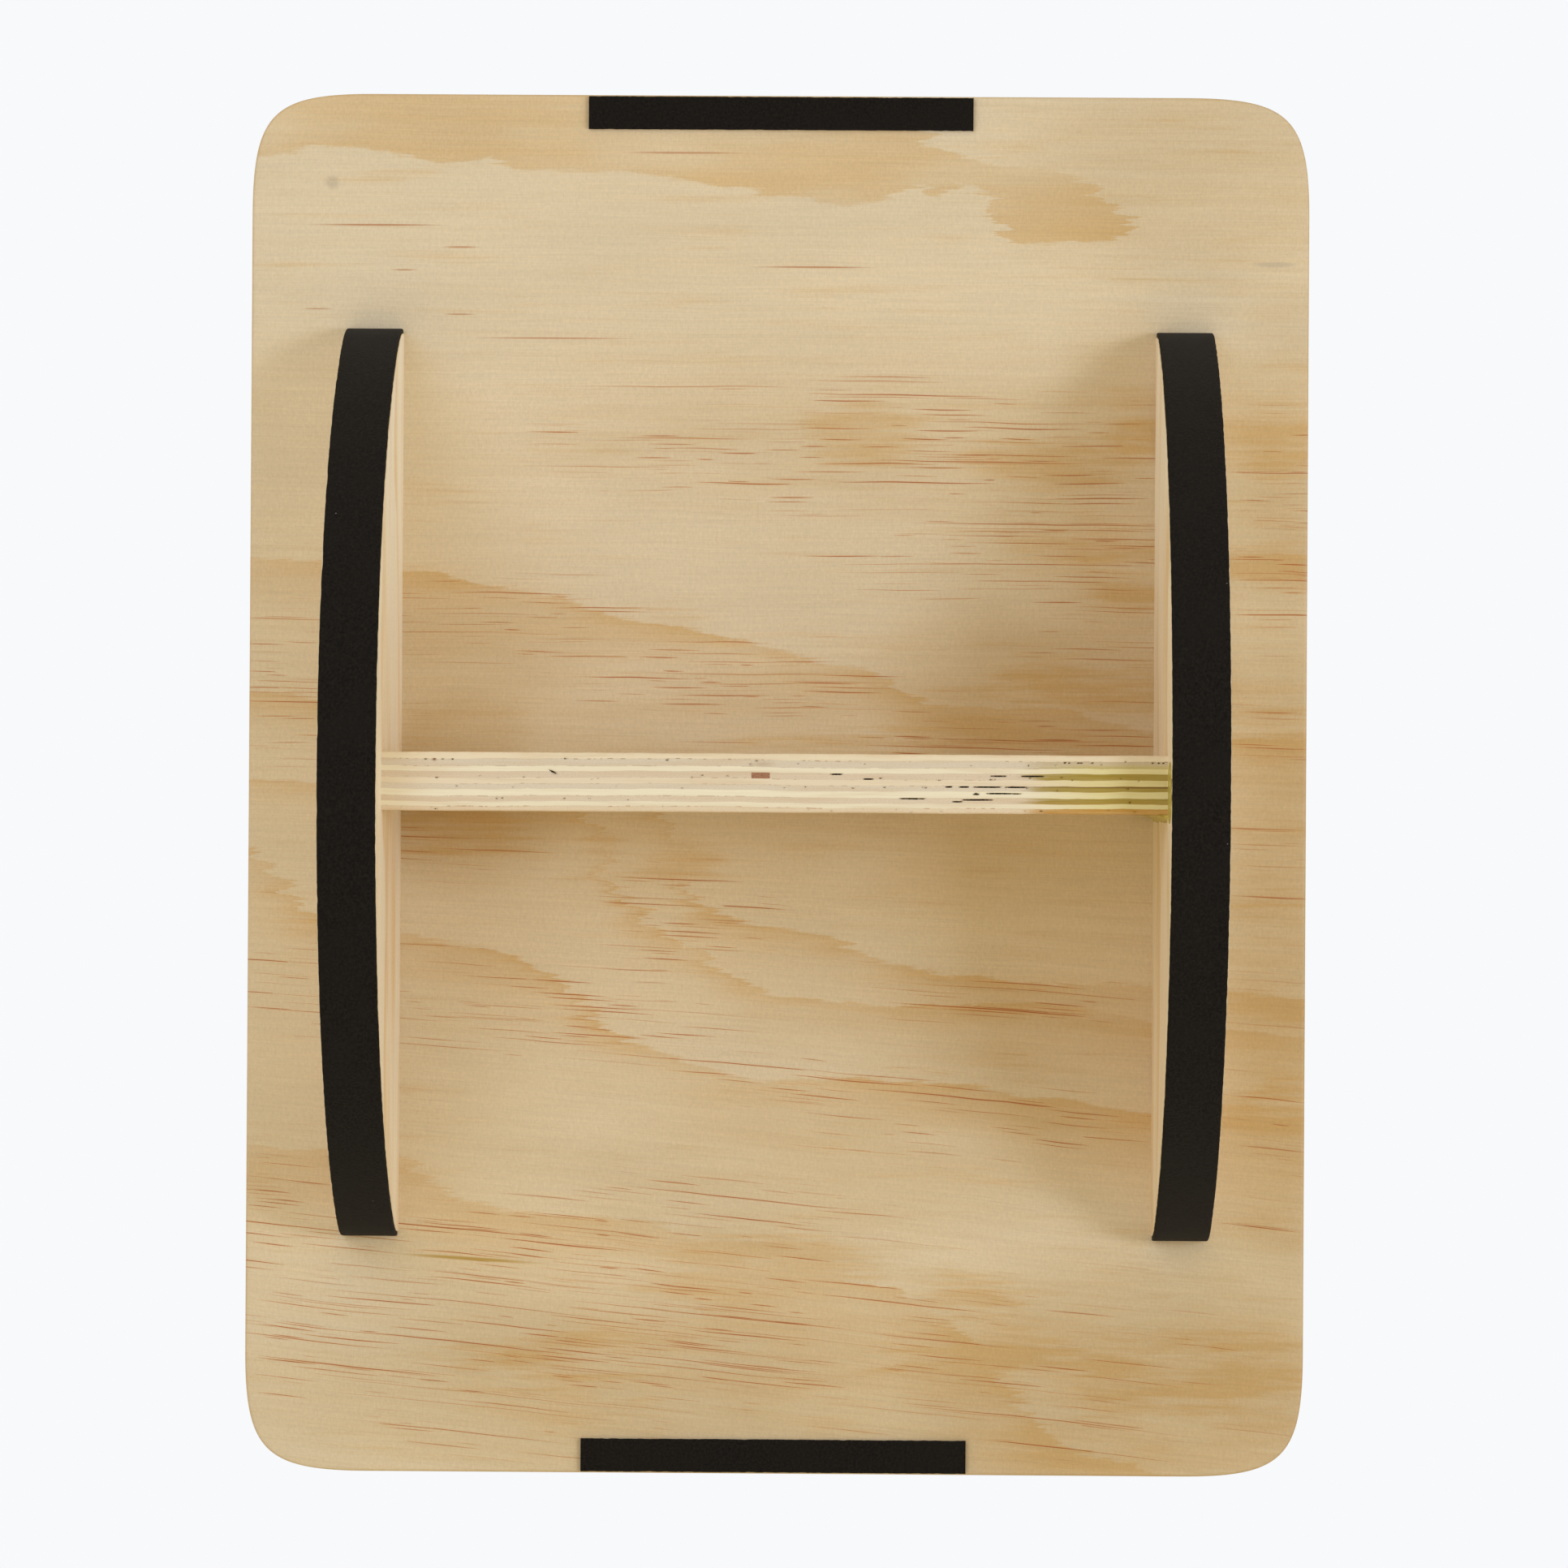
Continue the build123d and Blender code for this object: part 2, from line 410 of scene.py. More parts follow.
def new_material(name):
    """A material with its net, its shader and its points' place in millimetres."""
    material = bpy.data.materials.new(name)
    material.use_nodes = True
    net = Net(material.node_tree)
    shader = material.node_tree.nodes["Principled BSDF"]
    place = net.scaled(net.node("ShaderNodeTexCoord").outputs["Object"], 1000, 1000, 1000)
    return material, net, shader, place


def finish_material(net, shader, colour, roughness, height=None, strength=1.0):
    """Feeds the shader; height is in millimetres."""
    net.tree.links.new(colour, shader.inputs["Base Color"])
    net.tree.links.new(roughness, shader.inputs["Roughness"])
    if height is not None:
        bump = net.node("ShaderNodeBump", {"Height": height, "Strength": strength,
                                           "Distance": 0.001})
        net.tree.links.new(bump.outputs[0], shader.inputs["Normal"])


def read(net, name):
    """A number stored at the piece's points."""
    return net.node("ShaderNodeAttribute", attribute_name=name).outputs["Fac"]


def finish_wood(net, shader, place, colour, roughness, height, dented=True):
    """Adds the rubbed edges' wear, with its dents or without, and feeds the shader."""
    rubbed = net.group(RUBBED, colour=colour, position=place, distance=read(net, "edge"))
    if dented:
        height = net.plus(height, rubbed["Height"])
    finish_material(net, shader, rubbed["Colour"], net.minus(roughness, rubbed["Polish"]), height)


# ---------------------------------------------------------------- the board's underside
# Each ring edge is a line of (Y, X) points in millimetres. Late wood starts at the line and
# fades over fade millimetres, towards the board's back end (side 1) or front end (side -1).
RING_EDGES = [
    dict(side=-1, fade=90, amount=0.76, points=[
        (-165, 195), (-141, 197), (-118, 196), (-106, 194), (-93, 196), (-83, 192), (-65, 191),
        (-30, 188), (-2, 185), (18, 181), (34, 183), (44, 187), (49, 184), (57, 187), (63, 185),
        (67, 180), (71, 171), (77, 169), (90, 170), (102, 170), (108, 175), (165, 196)],
        until=[
        (-165, 240), (20, 240), (33, 215), (44, 203), (51, 198), (61, 195), (71, 194), (82, 193),
        (89, 191), (94, 188), (100, 184), (106, 179), (110, 172), (165, 150)]),
    dict(side=1, fade=10, amount=1.0, points=[
        (-165, 70), (-140, 68), (-116, 66), (-80, 60), (-45, 52), (-14, 45), (12, 39), (33, 34),
        (44, 27), (60, 24), (80, 25), (118, 17), (165, 14)]),
    dict(side=1, fade=8, amount=0.95, points=[
        (-165, 29), (-142, 26), (-130, 18), (-120, 4), (-60, 2), (-42, -5), (-34, -14),
        (-28, -34), (-14, -41), (11, -47), (39, -57), (80, -60), (118, -62), (165, -67)]),
    dict(side=1, fade=7, amount=0.95, points=[
        (-165, 1), (-75, -3), (-60, -9), (-54, -22), (-49, -34), (-27, -50), (-8, -63), (14, -67),
        (44, -69), (80, -67), (118, -73), (165, -78)]),
    dict(side=1, fade=10, amount=1.0, points=[
        (-165, -21), (-155, -30), (-146, -39), (-116, -47), (-90, -52), (-70, -59), (-56, -73),
        (-27, -87), (1, -92), (44, -92), (87, -98), (118, -102), (165, -104)]),
    dict(side=1, fade=20, amount=0.7, points=[
        (-165, -114), (-116, -117), (-99, -130), (-65, -134), (-42, -135), (-22, -145), (10, -153),
        (32, -156), (48, -164), (66, -180), (90, -204), (120, -228), (165, -240)]),
]

# Where resin streaks gather: (X, Y, reach in X, reach in Y, how many).
RESIN = [
    (105, 20, 24, 100, 0.62), (88, 95, 26, 40, 0.45), (118, -40, 10, 60, 0.3),
    (72, 72, 15, 60, 0.66), (48, 100, 14, 34, 0.35), (14, 70, 9, 62, 0.5),
    (52, -82, 15, 46, 0.7), (30, -12, 15, 58, 0.7), (17, 75, 10, 50, 0.3),
    (-72, -68, 14, 58, 0.72), (-42, -30, 20, 32, 0.7), (-92, 10, 10, 60, 0.5),
    (-66, 80, 10, 50, 0.35), (-107, 66, 12, 60, 0.5), (-165, -70, 42, 105, 0.66),
    (-135, -40, 14, 80, 0.5), (-180, 60, 22, 70, 0.3), (32, -152, 28, 18, 0.6),
    (-174, -152, 20, 22, 0.7),
    (-64, -152, 18, 18, 0.55), (-140, -152, 30, 18, 0.6), (77, 155, 40, 14, 0.6),
    (-10, 155, 40, 14, 0.25), (-120, 155, 24, 14, 0.3), (-20, -95, 12, 30, 0.35),
]

# Broad stains of late wood that no ring line gives, in the same terms. Those just below the brace
# are partly painted shade.
TAN_AND_SHADE_PATCHES = [
    (110, 26, 11, 22, 1.0), (100, 88, 9, 36, 0.8), (108, 112, 8, 14, 0.9), (74, 100, 8, 34, 0.6),
    (62, 114, 8, 20, 0.65), (32, 100, 10, 40, 0.7), (14, 60, 8, 70, 0.8), (109, 160, 13, 32, 0.9),
    (68, 160, 8, 32, 0.9), (18, 160, 9, 28, 0.75), (-100, 155, 9, 34, 0.75),
    (-152, -6, 15, 46, 0.85), (-182, 130, 14, 44, 0.6), (-160, 60, 10, 26, 0.55),
    (-178, -60, 10, 60, 0.5), (-178, 60, 8, 40, 0.7),
    # Just below the brace: partly painted shade.
    (-14, -98, 9, 28, 0.9), (-24, -30, 7, 16, 0.8), (-19, -55, 6, 10, 0.75),
]

# Where the wood is drawn darker and tanner over a wide, soft area: partly its own tan, partly
# painted shade beside the rockers and the brace and towards the back end.
WARM_AND_SHADED_AREAS = [
    (-188, 115, 44, 105, 0.9), (-190, -30, 34, 130, 0.6), (-125, 10, 26, 80, 0.35),
    (-60, 165, 130, 34, 0.75), (100, 165, 60, 30, 0.5), (190, 130, 40, 60, 0.4),
    (85, 112, 66, 36, 0.6), (26, 90, 30, 70, 0.7), (30, -98, 34, 50, 0.35),
    (14, -30, 22, 90, 0.35), (14, -98, 22, 30, 0.6), (-10, -98, 22, 36, 0.6),
    (-20, 10, 26, 90, 0.2), (110, 20, 30, 110, 0.3), (-90, 90, 40, 60, 0.4),
]

RESIN_LINE = srgb(184, 112, 54)
# Single marks: (X, Y), their reach, their turn in degrees, their colour and its strength.
MARKS = [
    ((174, -126), (0.45, 25), 0, RESIN_LINE, 0.75),
    ((197, -30), (0.45, 23), 0, srgb(186, 122, 74), 0.7),
    ((161.5, 11), (0.4, 23), 0, RESIN_LINE, 0.75),
    ((167.2, -99.8), (0.4, 7), 0, RESIN_LINE, 0.7),
    ((160, -117.4), (0.35, 5), 0, RESIN_LINE, 0.65),
    ((146.2, -100), (0.35, 6), 0, RESIN_LINE, 0.65),
    ((147.7, -144.3), (0.3, 6), 0, RESIN_LINE, 0.6),
    ((138.9, -70), (0.4, 31), 0, RESIN_LINE, 0.65),
    ((-148.5, -95), (0.8, 27), 3.4, srgb(184, 148, 54), 0.85),
    ((187.2, -140), (3.0, 3.0), 20, srgb(160, 148, 128), 0.34),
    ((163, 154), (1.2, 9), 0, srgb(158, 148, 130), 0.35),
]


def patches(points, marks):
    """The strongest of some soft ellipses at each point: full up to 0.35 of an ellipse's reach,
    with an S-shaped fall from there to 0 at 1.3 times its reach."""
    x, y = points[:, 0] / MM, points[:, 1] / MM
    total = np.zeros(len(points))
    for centre_x, centre_y, reach_x, reach_y, amount in marks:
        away = np.hypot((x - centre_x) / reach_x, (y - centre_y) / reach_y)
        total = np.maximum(total, amount * smooth_step(1.3, 0.35, away))
    return total


def drawn_line(net, along, points):
    """A smooth line through given points: along in millimetres gives X in millimetres.

    The curve runs from 0 to 1 both ways, so the board's width and length are mapped to that."""
    low, span = -HALF_WIDTH / MM, 2 * HALF_WIDTH / MM
    x_low, x_span = -HALF_LENGTH / MM, 2 * HALF_LENGTH / MM
    share = net.ramp(along, low, low + span, smooth=False)
    curve = net.node("ShaderNodeFloatCurve", [1.0, share])
    line = curve.mapping.curves[0]
    places = [((y - low) / span, (x - x_low) / x_span) for y, x in points]
    while len(line.points) < len(places):
        line.points.new(0.5, 0.5)
    for point, place in zip(line.points, places):
        point.location = place
        point.handle_type = "AUTO_CLAMPED"
    curve.mapping.update()
    return net.math("MULTIPLY_ADD", curve.outputs[0], x_span, x_low)


def make_underside_material():
    """The board's underside: veneer with ring lines that sweep round a flat crown, resin
    streaks that tilt towards the back end, a few marks, and wide areas of darker, tanner wood
    that are partly painted shade."""
    material, net, shader, place = new_material("underside veneer")
    x, y, z = net.split(place)[:3]
    wide = net.noise(place, (0.02, 0.018, 0), detail=2.0)
    fine = net.noise(place, (0.3, 0.07, 0), detail=4.0, roughness=0.65)
    ragged = net.noise(place, (2.2, 0.14, 0), detail=2.0, roughness=0.7)
    shift = net.plus(net.about_zero(wide, 7.0), net.about_zero(fine, 5.5),
                     net.about_zero(ragged, 2.0))
    strength = net.ramp(net.noise(place, (0.06, 0.014, 0), detail=2.0), 0.3, 0.62, 0.45, 1.0)
    fingers = net.noise(place, (0.4, 0.012, 0), detail=3.0, roughness=0.7)
    along = net.plus(y, net.about_zero(fingers, 32.0))
    late = 0.0
    for edge in RING_EDGES:
        past = net.minus(drawn_line(net, along, edge["points"]), x)
        past = net.plus(net.times(past, edge["side"]), shift)
        tooth = net.ramp(past, -0.5, 0.9)
        if "until" in edge:
            left = net.minus(drawn_line(net, along, edge["until"]), x)
            tooth = net.times(tooth, net.ramp(net.plus(left, shift), -0.5, 0.9))
        fade = net.math("EXPONENT", net.times(net.most(past, 0.0), -1.0 / edge["fade"]))
        band = net.times(tooth, fade, edge["amount"])
        late = net.most(late, band)
    late = net.times(late, strength)
    frayed = net.math("MULTIPLY_ADD", fine, 16.0, x)
    late = net.times(late, net.ramp(frayed, 224.0, 227.0, 1.0, 0.25))
    drift = net.noise(place, (0.12, 0.022, 0), detail=4.0, roughness=0.6)
    # The stain patches just below the brace are partly painted shade.
    cloud = net.plus(read(net, "tan_and_shade_patch"), net.about_zero(drift, 1.7),
                     net.about_zero(fingers, 2.2))
    cloud = net.times(net.ramp(cloud, 0.0, 1.1), 0.62)
    late = net.most(late, cloud)
    # Painted shade, in part: the wide areas add late wood, standing partly for shade beside the
    # rockers and the brace and towards the back end.
    warm_and_shade = net.times(read(net, "warmth_and_shade"), net.ramp(drift, 0.3, 0.7, 0.35, 0.75))
    late = net.plus(late, warm_and_shade, clamp=True)
    tilt = net.ramp(x, 60.0, -150.0, 0.004, 0.1)
    bent = net.math("MULTIPLY_ADD", y, tilt, x)
    bent = net.plus(bent, net.about_zero(wide, 2.4))
    grain = net.join(bent, y, z)
    resin = net.times(net.ramp(x, 165.0, 130.0), net.times(late, 0.3))
    resin = net.plus(read(net, "resin"), resin)
    wood = net.group(VENEER, position=grain, late_wood=late, resin=resin,
                     pale=PALE_PINE, tan=TAN_PINE)
    # Painted shade, in part: the same wide areas also darken the colour.
    deeper_and_painted_shade = net.mix(1.0, wood["Colour"], srgb(228, 223, 212), "MULTIPLY")
    colour = net.mix(net.times(read(net, "warmth_and_shade"), 0.8), wood["Colour"], deeper_and_painted_shade)
    for centre, reach, turn, tint, amount in MARKS:
        mask = net.times(net.spot(place, centre, reach, turn, 0.7), amount)
        colour = net.mix(mask, colour, tint)
    finish_wood(net, shader, place, colour, wood["Roughness"], wood["Height"])
    return material


def make_face_material(name, pale, tan, axes, offset, spacing, resin=0.26, deeper_and_painted_shade=0.0):
    """Veneer for any other face. axes says which of X, Y and Z runs across and along the grain,
    and offset, in millimetres, moves the pattern so that no two faces are alike. The last argument
    is painted shade: how much late wood is added behind the front end, darkening the face there."""
    material, net, shader, place = new_material(name)
    parts = dict(zip("XYZ", net.split(place)))
    grain = net.vector("ADD", net.join(*(parts[a] for a in axes)), offset)
    rings = net.group(RINGS, position=grain, spacing=spacing)
    gathered = net.noise(grain, (0.035, 0.012, 0), detail=1.0)
    streaked = net.ramp(gathered, 0.38, 0.64, 0.02, 2.2 * resin)
    # Painted shade: late wood added behind the front end darkens the face towards the back end.
    late = net.plus(rings["Late wood"], net.ramp(parts["X"], 110.0, 20.0, 0.0, deeper_and_painted_shade), clamp=True)
    wood = net.group(VENEER, position=grain, late_wood=late, resin=streaked, pale=pale, tan=tan)
    finish_wood(net, shader, place, wood["Colour"], wood["Roughness"], wood["Height"])
    return material


# ---------------------------------------------------------------- plywood edges
def make_layers_group():
    """The edge of nine plies, in millimetres: Across runs through the sheet from 0, and Along
    follows the edge. Every other ply shows its end grain, which is greyer, porous and a little
    sunk; the plies between show their long grain, which is creamy, with fine lines. Thin,
    broken, darker glue lines part them. The plies' limits wander along the edge."""
    tree, net, given, put = node_group(
        "ply layers",
        {"Across": "value", "Along": "value", "Depth": "value", "Swap": "value"},
        {"Colour": "colour", "Roughness": "value", "Height": "value"})
    slow = net.noise(net.join(given["Along"], given["Depth"], 0.0), 0.02, detail=2.0)
    quick = net.noise(net.join(given["Along"], given["Across"], given["Depth"]), 0.22, detail=2.0)
    across = net.plus(given["Across"], net.about_zero(slow, 0.9), net.about_zero(quick, 0.3))
    across = net.math("MINIMUM", across, SHEET / MM - PLY_EDGE_MARGIN)
    across = net.most(across, PLY_EDGE_MARGIN)
    place = net.math("DIVIDE", across, SHEET / MM / PLIES)
    number = net.math("FLOOR", place)
    within = net.minus(place, number)
    odd = net.math("ABSOLUTE", net.minus(net.math("MODULO", number, 2.0), given["Swap"]))
    position = net.join(given["Across"], given["Along"], given["Depth"])
    own = net.node("ShaderNodeTexWhiteNoise", {"W": number}, noise_dimensions="1D").outputs[0]
    lines = net.noise(position, (5.0, 0.06, 5.0), detail=3.0, roughness=0.6)
    cells = net.noise(position, (3.2, 2.2, 3.2), detail=3.0, roughness=0.7)
    blush = net.noise(position, (0.4, 0.03, 0.4), detail=2.0)
    long_grain = net.mix(net.ramp(lines, 0.3, 0.7), srgb(250, 238, 210), srgb(234, 212, 172))
    cut_grain = net.mix(net.ramp(cells, 0.3, 0.75), srgb(222, 190, 148), srgb(186, 148, 106))
    cut_grain = net.mix(net.ramp(blush, 0.4, 0.7, 0.0, 0.5), cut_grain, srgb(204, 176, 142))
    colour = net.mix(odd, long_grain, cut_grain)
    colour = net.mix(net.times(own, 0.25), colour, srgb(222, 192, 150))
    near = net.math("MINIMUM", within, net.minus(1.0, within))
    broken = net.ramp(net.noise(position, (0.8, 0.12, 0.8), detail=3.0), 0.42, 0.62)
    glue = net.times(net.ramp(near, 0.09, 0.01), net.ramp(broken, 0, 1, 0.2, 0.85))
    colour = net.mix(glue, colour, srgb(146, 98, 62))
    pits = net.times(net.ramp(cells, 0.68, 0.8), odd)
    colour = net.mix(net.times(pits, 0.6), colour, srgb(130, 98, 70))
    height = net.plus(net.times(odd, -0.04), net.times(pits, -0.08),
                      net.times(glue, -0.06), net.times(lines, 0.03))
    put(colour=colour, roughness=net.ramp(odd, 0, 1, 0.6, 0.78), height=height)
    return tree


LAYERS = make_layers_group()


def make_edge_material(name, across_axis, across_start, sign, swap_by_side):
    """The edge of a sheet whose plies are stacked along one axis from across_start."""
    material, net, shader, place = new_material(name)
    parts = dict(zip("XYZ", net.split(place)))
    value = parts[across_axis]
    across = net.times(net.minus(value, across_start / MM), sign)
    others = [a for a in "XYZ" if a != across_axis]
    along = net.plus(parts[others[0]], net.times(parts[others[1]], 0.7))
    depth = net.minus(parts[others[1]], net.times(parts[others[0]], 0.7))
    swap = 0.0
    if swap_by_side:
        normal = net.split(net.node("ShaderNodeNewGeometry").outputs["Normal"])
        swap = net.ramp(net.math("ABSOLUTE", normal[1]), 0.5, 0.85)
    plies = net.group(LAYERS, across=across, along=along, depth=depth, swap=swap)
    finish_wood(net, shader, place, plies["Colour"], plies["Roughness"], plies["Height"])
    return material


# The brace's lower edge: where each ply ends, from its front face, and its colour.
BRACE_PLIES = [
    (2.0, (242, 225, 192)), (4.1, (229, 213, 188)), (5.7, (246, 234, 204)),
    (7.6, (230, 210, 182)), (9.4, (239, 221, 190)), (11.0, (231, 215, 190)),
    (13.0, (247, 236, 206)), (14.7, (232, 213, 185)), (16.1, (244, 231, 200)),
    (18.5, (238, 217, 184)),
]
# Glue and knife marks along it: how far from the front face, Y, reach along, reach across.
BRACE_CRACKS = [
    (6.45, 77.0, 4.0, 0.2), (6.3, 67.0, 3.5, 0.13), (11.6, 67.0, 4.2, 0.2), (11.5, 72.5, 2.4, 0.14),
    (9.65, 63.5, 4.5, 0.16), (9.7, 72.0, 3.6, 0.12), (13.3, 41.0, 4.6, 0.13),
    (13.5, 60.5, 5.0, 0.13), (6.1, 18.5, 1.8, 0.16), (6.0, 13.0, 2.4, 0.1), (7.5, 28.0, 1.5, 0.2),
    (9.6, 52.0, 1.2, 0.18), (11.8, 60.2, 0.9, 0.3), (14.0, 54.5, 2.0, 0.13),
    (9.65, 56.5, 1.6, 0.13),
]
# Broken glue lines where its plies meet: how far from the front face, colour, strength.
BRACE_GLUE_LINES = [
    (2.0, (140, 96, 62), 0.7), (4.1, (176, 136, 100), 0.5), (7.6, (170, 128, 92), 0.5),
    (9.4, (176, 140, 108), 0.5), (13.0, (168, 126, 90), 0.5), (16.1, (176, 104, 62), 0.7),
]


def make_brace_edge_material():
    """The brace's lower edge: plies that waver, with pores, short cracks, a knot, and a
    yellow-green stain of glue and resin towards its left end. Its pits are in the mesh, and
    the hollow attribute darkens them with painted shade, by their depth."""
    material, net, shader, place = new_material("brace edge")
    x, y = net.split(place)[:2]
    slow = net.noise(net.join(0.0, y, 0.0), 0.014, detail=2.0)
    quick = net.noise(place, (0.12, 0.09, 0), detail=2.0)
    front = brace_high.x / MM
    across = net.minus(front, x)
    wavy = net.plus(across, net.about_zero(slow, 1.7), net.about_zero(quick, 0.7))
    lines = net.noise(place, (6.0, 0.045, 0), detail=4.0, roughness=0.65)
    cells = net.noise(place, (3.4, 1.5, 0), detail=3.0, roughness=0.7)
    blush = net.noise(place, (0.5, 0.025, 0), detail=3.0)
    # One ply after another from the front face, every other one of cut grain, which is porous.
    begin, tint = BRACE_PLIES[0]
    colour, porous = srgb(*tint), 0.0
    for number, (end, tint) in enumerate(BRACE_PLIES[1:], 1):
        begins = net.ramp(wavy, begin - 0.09, begin + 0.09)
        colour = net.mix(begins, colour, srgb(*tint))
        change = net.times(begins, net.minus(number % 2, porous))
        porous = net.plus(porous, change)
        begin = end
    tone = net.ramp(lines, 0.25, 0.75, 1.05, 0.92, smooth=False)
    shade = net.ramp(cells, 0.3, 0.75, 1.04, 0.86, smooth=False)
    shade = net.plus(1.0, net.times(porous, net.minus(shade, 1.0)))
    tone = net.times(tone, shade)
    colour = net.shaded(colour, tone)
    colour = net.mix(net.ramp(blush, 0.45, 0.7, 0.0, 0.35), colour, srgb(216, 186, 146))
    for at, tint, amount in BRACE_GLUE_LINES:
        off = net.math("ABSOLUTE", net.minus(wavy, at))
        dashes = net.ramp(net.noise(net.join(at * 7.0, y, 0.0), 0.5, detail=3.0), 0.48, 0.6)
        stretch = net.ramp(net.noise(net.join(at * 3.0, y, 5.0), 0.07, detail=2.0), 0.42, 0.62)
        mask = net.times(net.ramp(off, 0.2, 0.03), dashes, stretch, amount)
        colour = net.mix(mask, colour, srgb(*tint))
    pits = net.times(net.ramp(cells, 0.69, 0.78), porous)
    colour = net.mix(net.times(pits, 0.55), colour, srgb(128, 100, 74))
    # The stain: strong in the cut-grain plies, pale yellow-green between them.
    ragged = net.about_zero(net.noise(place, (1.2, 0.1, 0), detail=3.0), 14.0)
    reach = net.plus(y, ragged)
    pale_stain = net.ramp(reach, 72.0, 100.0)
    deep = net.times(net.ramp(reach, 72.0, 82.0), porous)
    first = net.ramp(wavy, 2.3, 4.0)
    colour = net.mix(net.times(pale_stain, first, 0.55), colour, srgb(228, 214, 118))
    olive = net.mix(net.ramp(across, 13.6, 16.0), srgb(160, 132, 14), srgb(194, 138, 40))
    deep = net.times(deep, net.ramp(wavy, 3.0, 6.0, 0.35, 1.0),
                     net.ramp(lines, 0.3, 0.6, 0.65, 1.0))
    colour = net.mix(net.times(deep, 0.92), colour, olive)
    red = net.times(net.ramp(net.math("ABSOLUTE", net.minus(across, 9.6)), 0.3, 0.05),
                    net.ramp(reach, 70.0, 118.0, 0.35, 1.0), net.ramp(y, 68.0, 78.0))
    colour = net.mix(net.times(red, 0.85), colour, srgb(112, 66, 40))
    # The knot, with its dark rim, in the fourth ply.
    knot = net.times(net.ramp(net.math("ABSOLUTE", net.plus(y, 4.1)), 2.9, 2.6),
                     net.ramp(net.math("ABSOLUTE", net.minus(across, 6.6)), 0.95, 0.8))
    colour = net.mix(net.times(knot, 0.85), colour,
                     net.mix(net.ramp(cells, 0.35, 0.6), srgb(104, 54, 28), srgb(172, 104, 60)))
    halo = net.spot(place, (front - 3.2, -3.6), (1.6, 5.5))
    colour = net.mix(net.times(halo, 0.4), colour, srgb(176, 146, 112))
    spot = net.spot(place, (front - 2.4, -101.5), (0.7, 1.3))
    colour = net.mix(net.times(spot, 0.7), colour, srgb(150, 84, 54))
    # Painted shade: each pit's colour darkens towards near black with its depth in the mesh.
    chips = net.noise(place, (2.6, 1.1, 0), detail=3.0, roughness=0.7)
    hollow = net.times(read(net, "hollow"), net.ramp(chips, 0.36, 0.56, 0.15, 1.0))
    colour = net.mix(net.ramp(hollow, 0.12, 0.5), colour, srgb(34, 22, 14))
    height = net.plus(net.times(porous, -0.05), net.times(pits, -0.1), net.times(lines, 0.05))
    finish_wood(net, shader, place, colour, net.ramp(porous, 0, 1, 0.6, 0.76), height, False)
    return material


# ---------------------------------------------------------------- felt, glue, dowels
def make_felt_material():
    """Black needled felt: a dark matted surface, a little uneven, with stray pale lint."""
    material, net, shader, place = new_material("felt")
    mat_noise = net.noise(place, 1.2, detail=5.0, roughness=0.75)
    broad = net.noise(place, 0.06, detail=2.0)
    colour = net.mix(net.ramp(mat_noise, 0.3, 0.7), srgb(10, 8, 7), srgb(37, 32, 28))
    colour = net.mix(net.ramp(broad, 0.4, 0.7, 0.0, 0.4), colour, srgb(30, 27, 24))
    cells = net.node("ShaderNodeTexVoronoi", {"Vector": net.scaled(place, 0.35, 0.22, 0.35),
                                              "Scale": 1.0}, feature="F1")
    chance = net.node("ShaderNodeSeparateColor", [cells.outputs["Color"]]).outputs[0]
    lint = net.times(net.ramp(cells.outputs["Distance"], 0.07, 0.02),
                     net.math("GREATER_THAN", chance, 0.93))
    colour = net.mix(net.times(lint, 0.7), colour, srgb(176, 170, 160))
    height = net.plus(net.times(mat_noise, 0.35),
                      net.times(net.noise(place, 5.0, detail=2.0), 0.12))
    finish_material(net, shader, colour, net.ramp(mat_noise, 0.3, 0.7, 0.86, 0.98), height)
    shader.inputs["Specular IOR Level"].default_value = 0.12
    shader.inputs["Sheen Weight"].default_value = 0.05
    shader.inputs["Sheen Roughness"].default_value = 0.5
    return material


def make_glue_material():
    """Yellowed wood glue: smooth, a little uneven and milky, with caught dust."""
    material, net, shader, place = new_material("dried glue")
    cloud = net.noise(place, 0.5, detail=3.0)
    colour = net.mix(net.ramp(cloud, 0.35, 0.65), srgb(208, 196, 96), srgb(176, 156, 58))
    dust = net.ramp(net.noise(place, 4.0, detail=2.0), 0.66, 0.78)
    colour = net.mix(net.times(dust, 0.5), colour, srgb(132, 104, 60))
    finish_material(net, shader, colour, net.ramp(cloud, 0.3, 0.7, 0.22, 0.4),
                    net.times(cloud, 0.2))
    return material


def make_dowel_material():
    """Turned beech dowels: pinkish tan with short dark flecks along the fibres."""
    material, net, shader, place = new_material("beech dowel")
    fibre = net.noise(place, (2.0, 2.0, 0.3), detail=3.0)
    flecks = net.ramp(net.noise(place, (3.5, 3.5, 0.9), detail=2.0), 0.62, 0.72)
    colour = net.mix(net.ramp(fibre, 0.3, 0.7), srgb(222, 186, 146), srgb(204, 162, 120))
    colour = net.mix(net.times(flecks, 0.5), colour, srgb(158, 112, 76))
    finish_material(net, shader, colour, net.ramp(fibre, 0.3, 0.7, 0.5, 0.62),
                    net.times(fibre, 0.04))
    return material


UNDERSIDE_VENEER = make_underside_material()
STANDING_VENEER = make_face_material("standing face veneer", PALE_PINE, TAN_PINE, "XYZ",
                                     (640.0, 90.0, 0.0), 62.0)
BOARD_EDGE = make_edge_material("board edge", "Z", UNDERSIDE, 1.0, True)
